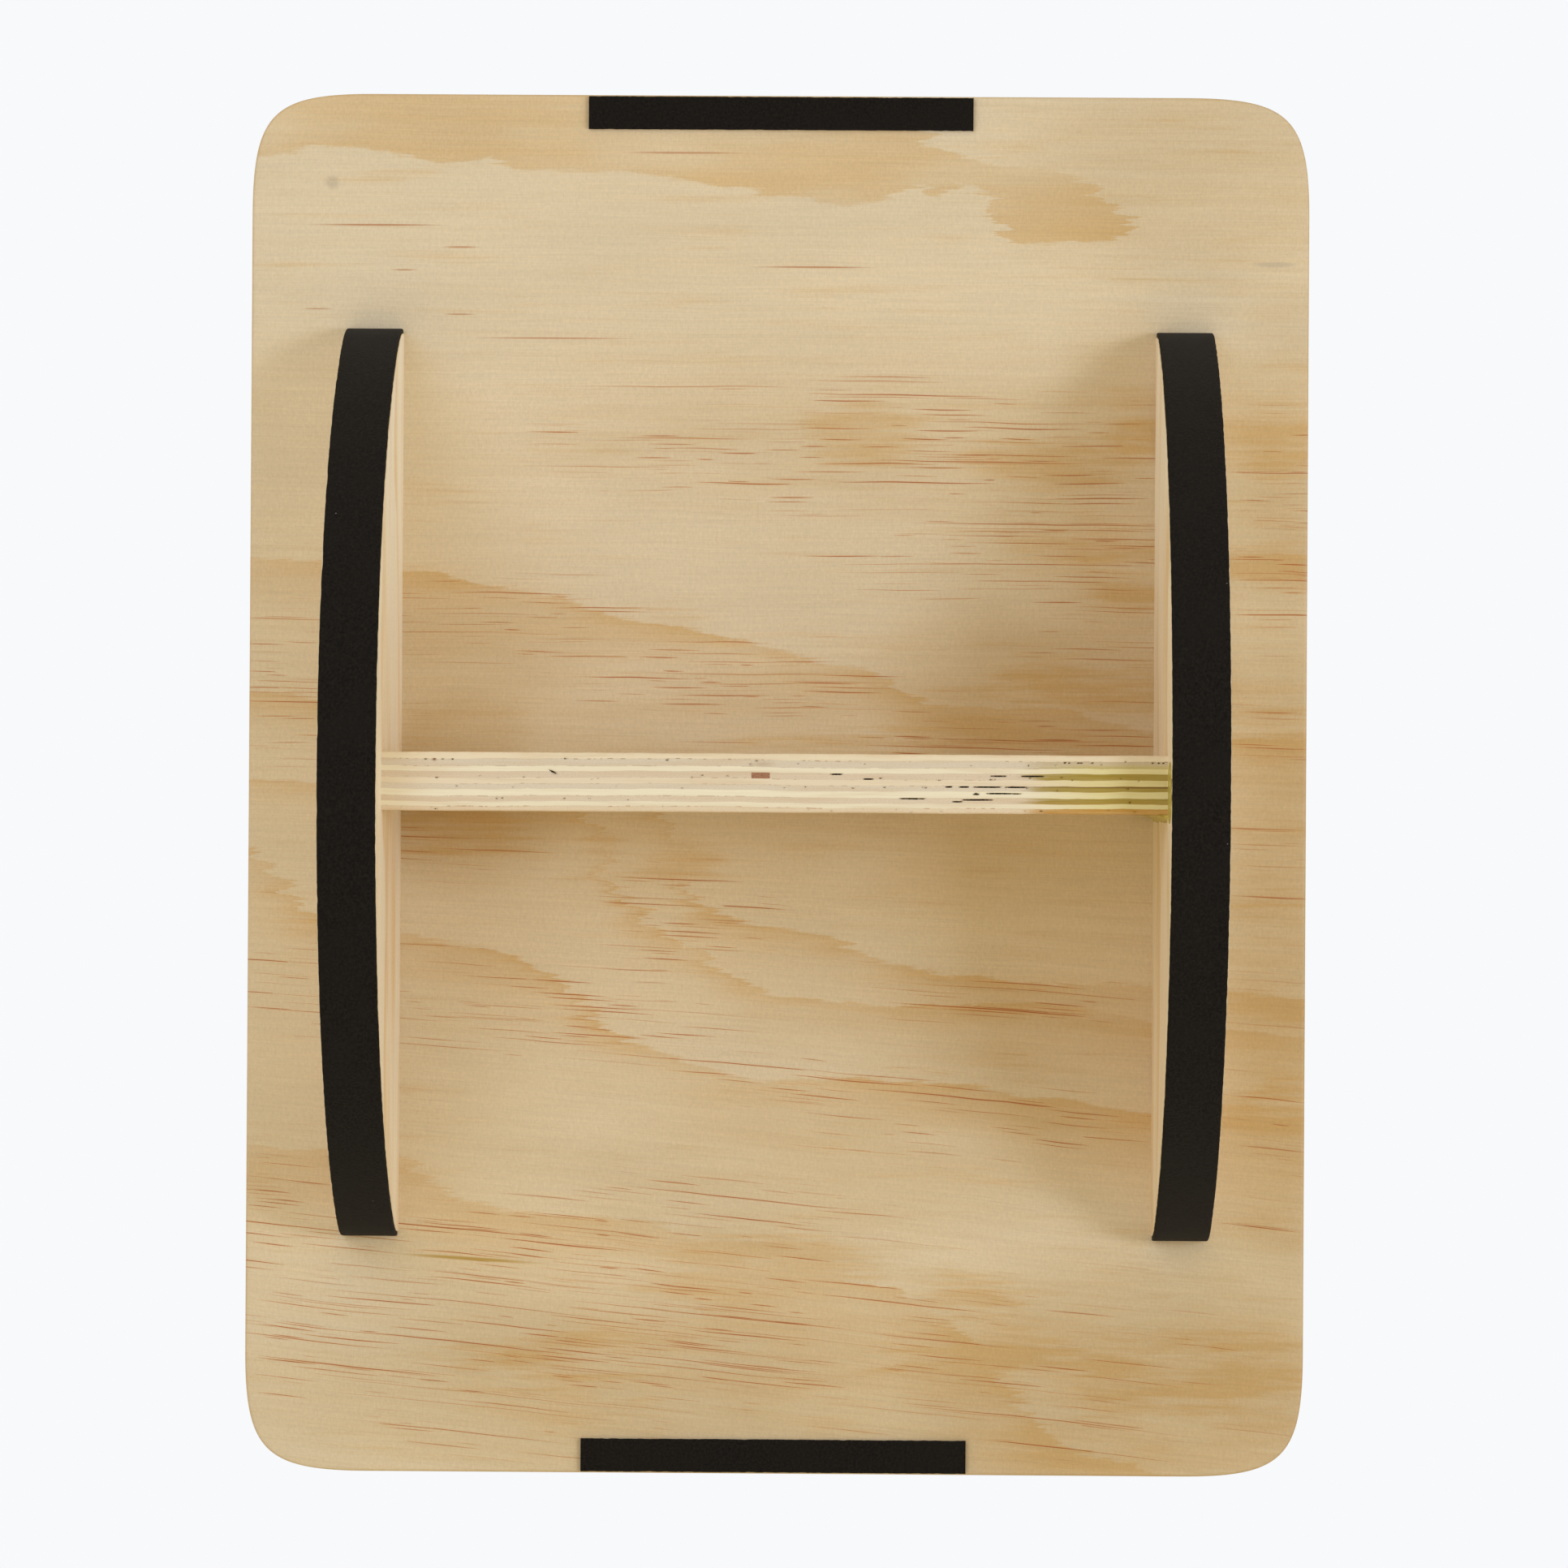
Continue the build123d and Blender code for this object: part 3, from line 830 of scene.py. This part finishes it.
# The rockers' veneers are near white, paler than the board's: painted light on their faces. The
# last number of each adds painted shade towards the back end.
ROCKER_FACES = {
    "left": make_face_material("left rocker veneer", srgb(255, 246, 228), srgb(240, 216, 174),
                               "ZXY", (900.0, 400.0, 0.0), 44.0, 0.18, 0.4),
    "right": make_face_material("right rocker veneer", srgb(255, 248, 230), srgb(242, 214, 170),
                                "ZXY", (1300.0, 800.0, 0.0), 40.0, 0.18, 0.25),
}
ROCKER_EDGES = {
    "left": make_edge_material("left rocker edge", "Y", ROCKER_INNER, 1.0, False),
    "right": make_edge_material("right rocker edge", "Y", -ROCKER_INNER, -1.0, False),
}
BRACE_FACES = make_face_material("brace veneer", PALE_PINE, TAN_PINE, "ZYX", (200.0, 700.0, 0.0),
                                 58.0)
BRACE_EDGE = make_brace_edge_material()
BRACE_SIDES = make_edge_material("brace end", "X", brace_high.x, -1.0, False)
FELT_MATERIAL = make_felt_material()
GLUE_MATERIAL = make_glue_material()
DOWEL_MATERIAL = make_dowel_material()


# ---------------------------------------------------------------- the board
def board_side():
    """One long side from the back end to the front: straight, with a soft curve at each end.

    The curve is the cubic whose end points are CORNER_REACH from the square corner and whose
    handles are CORNER_HANDLE from it. Gives X, Y and the outward normal at each point."""
    straight = np.linspace(0, HALF_LENGTH - CORNER_REACH, 118)
    t = np.linspace(0, 1, 37)[1:]
    a, h = CORNER_REACH, CORNER_HANDLE
    weights = np.stack([(1 - t)**3, 3 * t * (1 - t)**2, 3 * t**2 * (1 - t), t**3])
    slopes = np.stack([-3 * (1 - t)**2, 3 * (1 - t)**2 - 6 * t * (1 - t),
                       6 * t * (1 - t) - 3 * t**2, 3 * t**2])
    x_set = HALF_LENGTH - np.array([a, h, 0, 0])
    y_set = HALF_WIDTH - np.array([0, 0, h, a])
    x = np.concatenate([straight, x_set @ weights])
    y = np.concatenate([np.full(len(straight), HALF_WIDTH), y_set @ weights])
    dx, dy = x_set @ slopes, y_set @ slopes
    long = np.hypot(dx, dy)
    nx = np.concatenate([np.zeros(len(straight)), -dy / long])
    ny = np.concatenate([np.ones(len(straight)), dx / long])
    mirror = slice(None, 0, -1)
    return (np.concatenate([-x[mirror], x]), np.concatenate([y[mirror], y]),
            np.concatenate([-nx[mirror], nx]), np.concatenate([ny[mirror], ny]))


def board_face(inset, z, shares):
    """A flat face: each row is a straight line across the board between its two long sides,
    both moved in by inset along their normals."""
    x, y, nx, ny = board_side()
    row_x = (x - inset * nx)[:, None] + 0 * shares
    row_y = (y - inset * ny)[:, None] * shares
    return np.stack([row_x, row_y, np.full_like(row_x, z)], -1)


def around(face):
    """The face's outer points, once round, ending where they start."""
    return np.concatenate([face[:, -1], face[-1, -2::-1], face[-2::-1, 0], face[0, 1:]])


def make_board():
    """Two flat faces and a rim. The rim's section is a small quarter circle below, an upright
    and a larger quarter circle above, carried round the outline."""
    shares = np.linspace(-1, 1, 91)
    low = [(UNDERSIDE_ROUND * (1 - np.sin(a)), UNDERSIDE + UNDERSIDE_ROUND * (1 - np.cos(a)))
           for a in np.linspace(0, np.pi / 2, 6)]
    upright = [(0.0, z) for z in np.linspace(UNDERSIDE + UNDERSIDE_ROUND,
                                             STANDING_FACE - STANDING_ROUND, 16)[1:-1]]
    high = [(STANDING_ROUND * (1 - np.cos(a)), STANDING_FACE - STANDING_ROUND * (1 - np.sin(a)))
            for a in np.linspace(0, np.pi / 2, 9)]
    section = low + upright + high
    rim = np.stack([around(board_face(inset, z, shares)) for inset, z in section])
    under = board_face(section[0][0], section[0][1], shares)
    over = board_face(section[-1][0], section[-1][1], shares)
    piece = shell("board_panel",
                  [(under, 0), (rim[:len(low)], 0), (rim[len(low) - 1:], 1), (over, 2)],
                  [UNDERSIDE_VENEER, BOARD_EDGE, STANDING_VENEER])
    points = vertices(piece)
    x, y = np.abs(points[:, 0]), np.abs(points[:, 1])
    side_x, side_y = board_side()[:2]
    reach = np.interp(x, side_x, side_y)
    distance = np.minimum(HALF_LENGTH - x, reach - y)
    upright_face = (points[:, 2] > UNDERSIDE + UNDERSIDE_ROUND) & (
        points[:, 2] < STANDING_FACE - STANDING_ROUND)
    from_arris = np.minimum(points[:, 2] - UNDERSIDE, STANDING_FACE - points[:, 2])
    distance = np.where(upright_face, from_arris, distance)
    edge_distance(piece, distance)
    for name, marks in (("resin", RESIN), ("tan_and_shade_patch", TAN_AND_SHADE_PATCHES), ("warmth_and_shade", WARM_AND_SHADED_AREAS)):
        attribute(piece, name, patches(points, marks))
    return piece


# ---------------------------------------------------------------- the rockers
def rocker_line(outset, share):
    """A point of the rocker's outline, moved out by outset, for each share from 0 at the front
    end to 1 at the back: three arcs that run into each other, by their length."""
    lengths = np.array([ROCKER_END_RADIUS * END_SWEEP, ROLL_RADIUS * (np.pi - 2 * END_SWEEP),
                        ROCKER_END_RADIUS * END_SWEEP])
    ends = np.concatenate([[0], np.cumsum(lengths)]) / lengths.sum()
    angles = [0, -END_SWEEP, END_SWEEP - np.pi, -np.pi]
    angle = np.interp(share, ends, angles)
    centre_x = np.where(share < ends[1], END_CENTRE, np.where(share > ends[2], -END_CENTRE, 0))
    rolling = (share >= ends[1]) & (share <= ends[2])
    centre_z = np.where(rolling, UNDERSIDE + ROLL_RISE, UNDERSIDE)
    radius = np.where(rolling, ROLL_RADIUS, ROCKER_END_RADIUS) + outset
    return centre_x + radius * np.cos(angle), centre_z + radius * np.sin(angle)


def make_rocker(hand, side):
    """A plate under the three-arc outline, its long arrises eased by a quarter circle.

    Each flat side is straight lines from the outline up to even steps along the top."""
    ease = ARRIS_EASE
    share = np.linspace(0, 1, 201)
    turn = np.linspace(0, np.pi / 2, 4)
    section = ([(ease * (1 - np.sin(a)), ROCKER_INNER + ease * (1 - np.cos(a))) for a in turn]
               + [(0.0, y) for y in np.linspace(ROCKER_INNER + ease, ROCKER_OUTER - ease, 12)[1:-1]]
               + [(ease * (1 - np.cos(a)), ROCKER_OUTER - ease * (1 - np.sin(a))) for a in turn])
    rim, top = [], []
    for inset, y in section:
        x, z = rocker_line(-inset, share)
        rim.append(np.stack([x, np.full_like(x, side * y), z], -1))
        end = ROCKER_HALF_LENGTH - inset
        top.append(np.stack([np.linspace(end, -end, len(share)), np.full(len(share), side * y),
                             np.full(len(share), UNDERSIDE)], -1))
    up = np.linspace(0, 1, 25)[:, None, None]
    sides = [line * (1 - up) + cap * up for line, cap in ((rim[0], top[0]), (rim[-1], top[-1]))]
    piece = shell(f"rocker_panel_{hand}",
                  [(sides[0], 0), (sides[1], 0), (np.stack(rim), 1), (np.stack(top), 1)],
                  [ROCKER_FACES[hand], ROCKER_EDGES[hand]])
    points = vertices(piece)
    drop = np.hypot(points[:, 0], points[:, 2] - UNDERSIDE - ROLL_RISE)
    edge_distance(piece, ROLL_RADIUS - drop)
    return piece


# ---------------------------------------------------------------- felt
FELT_BODY = 0.985  # the felt's own surface, as a share of its thickness; fibres stand above it
EDGE_FIBRES, FACE_FIBRES = 900, 700


def fibres(rng, roots, ways, length, thick):
    """Stray fibres: three-sided tapering threads with one bend. Each root grows along its way,
    to its own random length, and its tip droops to a random side."""
    count = len(roots)
    ways = ways + rng.normal(size=(count, 3)) * 0.55
    ways /= np.linalg.norm(ways, axis=1)[:, None]
    side = np.cross(ways, rng.normal(size=(count, 3)))
    side /= np.linalg.norm(side, axis=1)[:, None]
    other = np.cross(ways, side)
    reach = (length * rng.uniform(0.4, 1.0, count))[:, None]
    bend = rng.uniform(-0.6, 0.6, count)[:, None]
    middle = roots + ways * reach * 0.55
    tip = roots + ways * reach + side * reach * bend
    base = roots - ways * thick
    rings = []
    for centre, radius in ((base, thick), (middle, thick * 0.8)):
        for k in range(3):
            a = 2 * np.pi * k / 3
            rings.append(centre + radius * (np.cos(a) * side + np.sin(a) * other))
    points = np.stack(rings + [tip], 1).reshape(-1, 3)
    pattern = [(0, 2, 1), (0, 1, 4, 3), (1, 2, 5, 4), (2, 0, 3, 5), (3, 4, 6), (4, 5, 6),
               (5, 3, 6)]
    faces = [tuple(7 * n + v for v in face) for n in range(count) for face in pattern]
    return points, faces


def make_strip(name, rng, path, up, across_axis, width, thick, material):
    """A cut strip of felt: a section with rounded outer corners, carried along path.

    path is the glued face's middle line, up is the way out of the wood at each point, and
    across_axis is the strip's width. Both cut edges wander a little and the outer face is
    slightly uneven. The ends close to a point in the section's middle."""
    count = len(path)
    half, soft = width / 2, 0.45 * MM
    turn = np.linspace(0, np.pi / 2, 5)
    right = [(half - soft + soft * np.cos(a), thick - soft + soft * np.sin(a)) for a in turn]
    flat = [(w, thick) for w in np.linspace(half - soft, -half + soft, 15)[1:-1]]
    left = [(-w, d) for w, d in reversed(right)]
    back = [(w, 0.0) for w in np.linspace(-half, half, 15)]
    section = np.array(right + flat + left + back + [right[0]])
    edge_low, edge_high = (wander(rng, count, 9, 0.05 * MM) + wander(rng, count, 3, 0.03 * MM)
                           for _ in range(2))
    side_share = section[:, 0] / half
    pull = (np.abs(edge_high)[:, None] * np.clip(side_share, 0, 1)
            - np.abs(edge_low)[:, None] * np.clip(-side_share, 0, 1))
    across = section[:, 0][None, :] - pull
    rough = rng.normal(size=(count, len(section))) * 0.02 * MM
    rough[:, -1] = rough[:, 0]
    outer = section[:, 1] > 0.6 * thick
    out = section[:, 1][None, :] - np.where(outer, np.abs(rough), 0)
    grid = (path[:, None, :] + across[..., None] * across_axis + out[..., None] * up[:, None, :])
    caps = []
    for end in (0, -1):
        ring = grid[end]
        middle = path[end] + up[end] * thick / 2
        caps.append(np.stack([ring, middle + (ring - middle) * 0.5, middle + 0 * ring]))
    pick = rng.integers(0, count, EDGE_FIBRES)
    sign = rng.choice([-1.0, 1.0], EDGE_FIBRES)
    rise = rng.uniform(0.1, 1.0, EDGE_FIBRES)[:, None] * thick
    roots = path[pick] + sign[:, None] * (half - 0.05 * MM) * across_axis + up[pick] * rise
    ways = sign[:, None] * across_axis + 0.2 * up[pick]
    inner = rng.integers(0, count, FACE_FIBRES)
    spread = rng.uniform(-1, 1, FACE_FIBRES)[:, None] * (half - soft)
    roots = np.concatenate([roots, path[inner] + spread * across_axis + up[inner] * thick * 0.97])
    lean = rng.normal(size=(FACE_FIBRES, 3)) * 1.6
    ways = np.concatenate([ways, up[inner] * 0.35 + lean * 0.25])
    hairs = fibres(rng, roots, ways, 0.32 * MM, 0.014 * MM)
    return shell(name, [(grid, 0), (caps[0], 0), (caps[1], 0)], [material], 60,
                 (hairs[0], hairs[1], 0))


def make_rocker_felt(hand, side, rng):
    """The felt follows the rocker's outline, and stops short of the board by its end gap."""
    share = np.linspace(0, 1, 4001)
    x, z = rocker_line(0, share)
    kept = share[z < UNDERSIDE - FELT_END_GAP]
    share = np.linspace(kept[0], kept[-1], 520)
    x, z = rocker_line(0, share)
    x_out, z_out = rocker_line(MM, share)
    middle = side * (ROCKER_INNER + ROCKER_OUTER) / 2
    path = np.stack([x, np.full_like(x, middle), z], -1)
    up = np.stack([(x_out - x) / MM, np.zeros_like(x), (z_out - z) / MM], -1)
    low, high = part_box(f"rocker_felt_{hand}")
    return make_strip(f"rocker_felt_strip_{hand}", rng, path, up, np.array([0.0, 1.0, 0.0]),
                      high.y - low.y, FELT * FELT_BODY, FELT_MATERIAL)


def make_stop_felt(end, rng):
    """A straight strip along Y on the board's underside."""
    low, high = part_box(f"stop_felt_{end}")
    y = np.linspace(low.y, high.y, 240)
    path = np.stack([np.full_like(y, (low.x + high.x) / 2), y, np.full_like(y, high.z)], -1)
    up = np.tile([0.0, 0.0, -1.0], (len(y), 1))
    return make_strip(f"stop_felt_strip_{end}", rng, path, up, np.array([1.0, 0.0, 0.0]),
                      high.x - low.x, (high.z - low.z) * FELT_BODY, FELT_MATERIAL)


# ---------------------------------------------------------------- the brace
PINHOLES = 70


def brace_hollows(x, y, rng):
    """How deep the lower edge is pitted at each point, in millimetres: listed cracks, each
    a lens whose depth falls off as one minus the square of the distance, then seeded pinholes
    that gather in the cut-grain plies."""
    across = brace_high.x / MM - x
    depth = np.zeros_like(x)
    for at, middle, reach_y, reach_x in BRACE_CRACKS:
        away = ((across - at) / reach_x)**2 + ((y - middle) / reach_y)**2
        depth = np.maximum(depth, 1.6 * np.clip(1 - away, 0, 1)**0.7)
    curl = np.hypot((across - 5.9 - 0.55 * (y + 66.0)) / 0.28, (y + 66.0) / 1.7)
    depth = np.maximum(depth, 1.5 * np.clip(1 - curl, 0, 1))
    for _ in range(PINHOLES):
        at = rng.choice([2.1, 3.1, 6.7, 7.6, 10.2, 13.9, 16.2, 17.0]) + rng.normal() * 0.25
        middle = rng.uniform(-115, 112)
        size = rng.uniform(0.16, 0.32)
        away = ((across - at) / size)**2 + ((y - middle) / (size * rng.uniform(1.0, 2.6)))**2
        depth = np.maximum(depth, 0.6 * np.clip(1 - away, 0, 1))
    for middle in (86.5, 88.0, 90.5, 91.4, 94.6, 112.8, 114.6, 116.0, -104.0, -101.5, -99.0, -96.0):
        away = ((across - 2.3) / 0.22)**2 + ((y - middle) / 0.4)**2
        depth = np.maximum(depth, 0.9 * np.clip(1 - away, 0, 1))
    return depth


def make_brace(rng):
    """A panel on edge. Its lower edge is a fine grid, pitted by brace_hollows, whose two long
    arrises are eased and wander inwards; its sides run straight up from there to the board."""
    half = (brace_high.x - brace_low.x) / 2
    across = np.linspace(-1, 1, 65)
    along = np.linspace(brace_low.y, brace_high.y, 520)
    grid_across, grid_along = np.meshgrid(across, along, indexing="ij")
    front_pull, back_pull = (np.abs(wander(rng, len(along), 60, 0.05 * MM))
                             + np.abs(wander(rng, len(along), 7, 0.02 * MM)) for _ in range(2))
    pull = np.where(grid_across > 0, front_pull, back_pull) * grid_across
    x = half * grid_across - pull
    depth = brace_hollows(x / MM, grid_along / MM, rng)
    ease = ARRIS_EASE
    from_arris = half * (1 - np.abs(grid_across))
    rise = np.where(from_arris < ease,
                    ease - np.sqrt(np.clip(ease**2 - (ease - from_arris)**2, 0, None)), 0)
    z = BRACE_BOTTOM + rise + depth * MM
    lower = np.stack([x, grid_along, z], -1)
    upper = np.stack([half * grid_across, grid_along, np.full_like(x, UNDERSIDE)], -1)
    up = np.linspace(0, 1, 14)[:, None, None] ** 1.6
    faces = [(lower, 0), (upper, 2)]
    for row in (0, -1):
        faces.append((lower[row] * (1 - up) + upper[row] * up, 1))
    for column in (0, -1):
        faces.append((lower[:, column] * (1 - up) + upper[:, column] * up, 2))
    piece = shell("brace_panel", faces, [BRACE_EDGE, BRACE_FACES, BRACE_SIDES], 50)
    points = vertices(piece)
    in_edge = points[:, 2] < BRACE_BOTTOM + 3 * MM
    hollow = np.where(in_edge, np.clip((points[:, 2] - BRACE_BOTTOM) / MM, 0, 2), 0)
    near_arris = np.abs(np.abs(points[:, 0]) - half) < 0.5 * MM
    attribute(piece, "hollow", np.where(near_arris, 0, hollow))
    edge_distance(piece, np.maximum(half - np.abs(points[:, 0]), points[:, 2] - BRACE_BOTTOM))
    return piece


def make_glue_bead(rng):
    """Glue squeezed out where the brace's back face meets the left rocker: a concave fillet from
    the brace's lower edge up to the board. The thin run below it on the rocker's face is made by
    make_glue_run.

    The fillet's section is the hollow side of a quarter ellipse; both reaches wander."""
    levels = np.linspace(BRACE_BOTTOM + 0.1 * MM, UNDERSIDE - 0.05 * MM, 90)
    turn = np.linspace(0, np.pi / 2, 12)
    reach_x = 2.2 * MM + wander(rng, len(levels), 15, 0.16 * MM)
    reach_y = 6.4 * MM + wander(rng, len(levels), 15, 0.5 * MM)
    fade = 0.35 + 0.65 * smooth_step(0, 2.5 * MM, levels - levels[0])
    corner_x, corner_y = brace_low.x, brace_high.y
    hollow_x = corner_x - (reach_x * fade)[:, None] * (1 - np.sin(turn))
    hollow_y = corner_y - (reach_y * fade)[:, None] * (1 - np.cos(turn))
    skin = np.stack([hollow_x, hollow_y, levels[:, None] + 0 * hollow_x], -1)
    skin[:, 0, 1] = corner_y
    skin[:, -1, 0] = corner_x
    corner = np.stack([np.full(len(levels), corner_x), np.full(len(levels), corner_y), levels], -1)
    inside = np.stack([skin[:, -1], corner, skin[:, 0]], 1)
    caps = [np.stack([skin[row], corner[row] + 0 * skin[row]]) for row in (0, -1)]
    return shell("glue_bead", [(skin, 0), (inside, 0)] + [(cap, 0) for cap in caps],
                 [GLUE_MATERIAL], 50)


def make_glue_run(rng):
    """A film of glue on the left rocker's face, between the brace's lower edge and the felt: a
    low dome over a ragged oblong."""
    u, v = np.meshgrid(np.linspace(-1, 1, 61), np.linspace(-1, 1, 41), indexing="ij")
    middle_x, middle_z = -2.2 * MM, (BRACE_BOTTOM + rocker_low.z) / 2
    reach_x, reach_z = 9.2 * MM, (BRACE_BOTTOM - rocker_low.z) / 2 - 0.2 * MM
    ragged = 1 + wander(rng, 61, 9, 0.04)[:, None] * (v < 0)
    x = middle_x + reach_x * u * (1 - 0.12 * np.abs(v)**3)
    z = middle_z + reach_z * v * ragged * (1 - 0.25 * np.abs(u)**4)
    swell = np.clip((1 - u**4) * (1 - v**4), 0, None)**0.5
    lift = 0.16 * MM * swell * (1 + 0.25 * np.sin(7 * u) * np.sin(4 * v + 1))
    front = np.stack([x, ROCKER_INNER - lift, z], -1)
    back = np.stack([x, np.full_like(x, ROCKER_INNER), z], -1)
    return shell("glue_run", [(front, 0), (back, 0)], [GLUE_MATERIAL], 60)


# ---------------------------------------------------------------- putting it together
board = make_board()
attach(board, "root")
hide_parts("board")

for hand, side in (("left", 1), ("right", -1)):
    rocker = make_rocker(hand, side)
    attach(rocker, "root")
    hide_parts(f"rocker_{hand}")
    strip = make_rocker_felt(hand, side, np.random.default_rng(11 + side))
    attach(strip, "root")
    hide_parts(f"rocker_felt_{hand}")

for number, end in enumerate(("front", "back")):
    strip = make_stop_felt(end, np.random.default_rng(21 + number))
    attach(strip, "root")
    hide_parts(f"stop_felt_{end}")

brace = make_brace(np.random.default_rng(31))
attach(brace, "root")
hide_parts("brace")

for glue in (make_glue_bead(np.random.default_rng(41)), make_glue_run(np.random.default_rng(42))):
    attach(glue, "root")

for name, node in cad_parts.items():
    if "dowels" in name:
        node.data.materials.clear()
        node.data.materials.append(DOWEL_MATERIAL)


# ---------------------------------------------------------------- floor, world, lights, camera
def make_floor():
    """A pale plane at the floor's level that shows only from above."""
    reach = 6.0
    mesh = bpy.data.meshes.new("floor")
    mesh.from_pydata([(-reach, -reach, 0), (reach, -reach, 0), (reach, reach, 0),
                      (-reach, reach, 0)], [], [(0, 1, 2, 3)])
    floor = bpy.data.objects.new("floor", mesh)
    bpy.context.scene.collection.objects.link(floor)
    material = bpy.data.materials.new("pale floor")
    material.use_nodes = True
    net = Net(material.node_tree)
    shader = material.node_tree.nodes["Principled BSDF"]
    place = net.node("ShaderNodeTexCoord").outputs["Object"]
    mottle = net.noise(place, 3.0, detail=3.0)
    colour = net.mix(net.ramp(mottle, 0.3, 0.7), srgb(208, 209, 211), srgb(212, 213, 215))
    net.tree.links.new(colour, shader.inputs["Base Color"])
    shader.inputs["Roughness"].default_value = 0.8
    shader.inputs["Emission Color"].default_value = srgb(248, 249, 251)
    shader.inputs["Emission Strength"].default_value = 0.24
    clear = net.node("ShaderNodeBsdfTransparent")
    behind = net.node("ShaderNodeNewGeometry").outputs["Backfacing"]
    either = net.node("ShaderNodeMixShader", [behind, shader.outputs[0], clear.outputs[0]])
    output = material.node_tree.nodes["Material Output"]
    net.tree.links.new(either.outputs[0], output.inputs["Surface"])
    mesh.materials.append(material)
    floor.visible_shadow = False
    floor.visible_diffuse = False
    floor.visible_glossy = False


def make_world(ambient):
    """Studio surroundings: a pale backdrop to the camera, and an even dim light to the rest."""
    world = bpy.data.worlds.new("studio")
    bpy.context.scene.world = world
    world.use_nodes = True
    net = Net(world.node_tree)
    seen = net.node("ShaderNodeBackground", {"Color": srgb(248, 249, 251), "Strength": 1.0})
    given = world.node_tree.nodes["Background"]
    given.inputs["Color"].default_value = (1.0, 0.85, 0.52, 1.0)
    given.inputs["Strength"].default_value = ambient
    to_camera = net.node("ShaderNodeLightPath").outputs["Is Camera Ray"]
    either = net.node("ShaderNodeMixShader", [to_camera, given.outputs[0], seen.outputs[0]])
    net.tree.links.new(either.outputs[0], world.node_tree.nodes["World Output"].inputs["Surface"])


def make_softbox(name, towards, distance, size, power, tint):
    """A square area light at a distance from the object's middle, aimed at it."""
    light = bpy.data.lights.new(name, "AREA")
    light.shape = "SQUARE"
    light.size = size
    light.energy = power
    light.color = tint
    lamp = bpy.data.objects.new(name, light)
    bpy.context.scene.collection.objects.link(lamp)
    way = Vector(towards).normalized()
    lamp.location = Vector((0, 0, UNDERSIDE)) + way * distance
    lamp.rotation_euler = way.to_track_quat("Z", "Y").to_euler()
    lamp.visible_camera = False


make_floor()
make_world(0.585)
# Softboxes: name, the way to it, its distance and size in metres, power and tint.
for lamp in (
        ("key", (0.05, 0.75, -1.0), 1.8, 0.4, 5.8, (0.86, 1.0, 1.26)),
        ("side", (0.1, 1.6, -1.0), 1.8, 0.7, 3.2, (0.86, 1.0, 1.36)),
        ("head", (0.53, -0.53, -1.0), 1.3, 0.8, 3.05, (0.79, 1.02, 1.52)),
        ("fill", (-0.53, -0.53, -1.0), 1.8, 1.0, 1.8, (1.0, 1.0, 1.05)),
        ("overhead", (0.3, 0.2, 1.0), 4.0, 2.4, 52.0, (0.8, 0.95, 1.3)),
        ("overhead side", (-0.5, -0.8, 0.9), 3.6, 1.6, 16.0, (0.8, 0.95, 1.3))):
    make_softbox(*lamp)

camera = bpy.data.objects.new("camera", bpy.data.cameras.new("camera"))
camera.data.lens = 141.34
camera.data.sensor_width = 36.0
camera.data.clip_start = 0.05
camera.data.clip_end = 50.0
camera.location = (-0.00889, 0.01867, -1.81388)
camera.rotation_euler = np.radians((-179.727, -0.491, 89.649))
bpy.context.scene.collection.objects.link(camera)
bpy.context.scene.camera = camera
bpy.context.scene.view_settings.view_transform = "Standard"
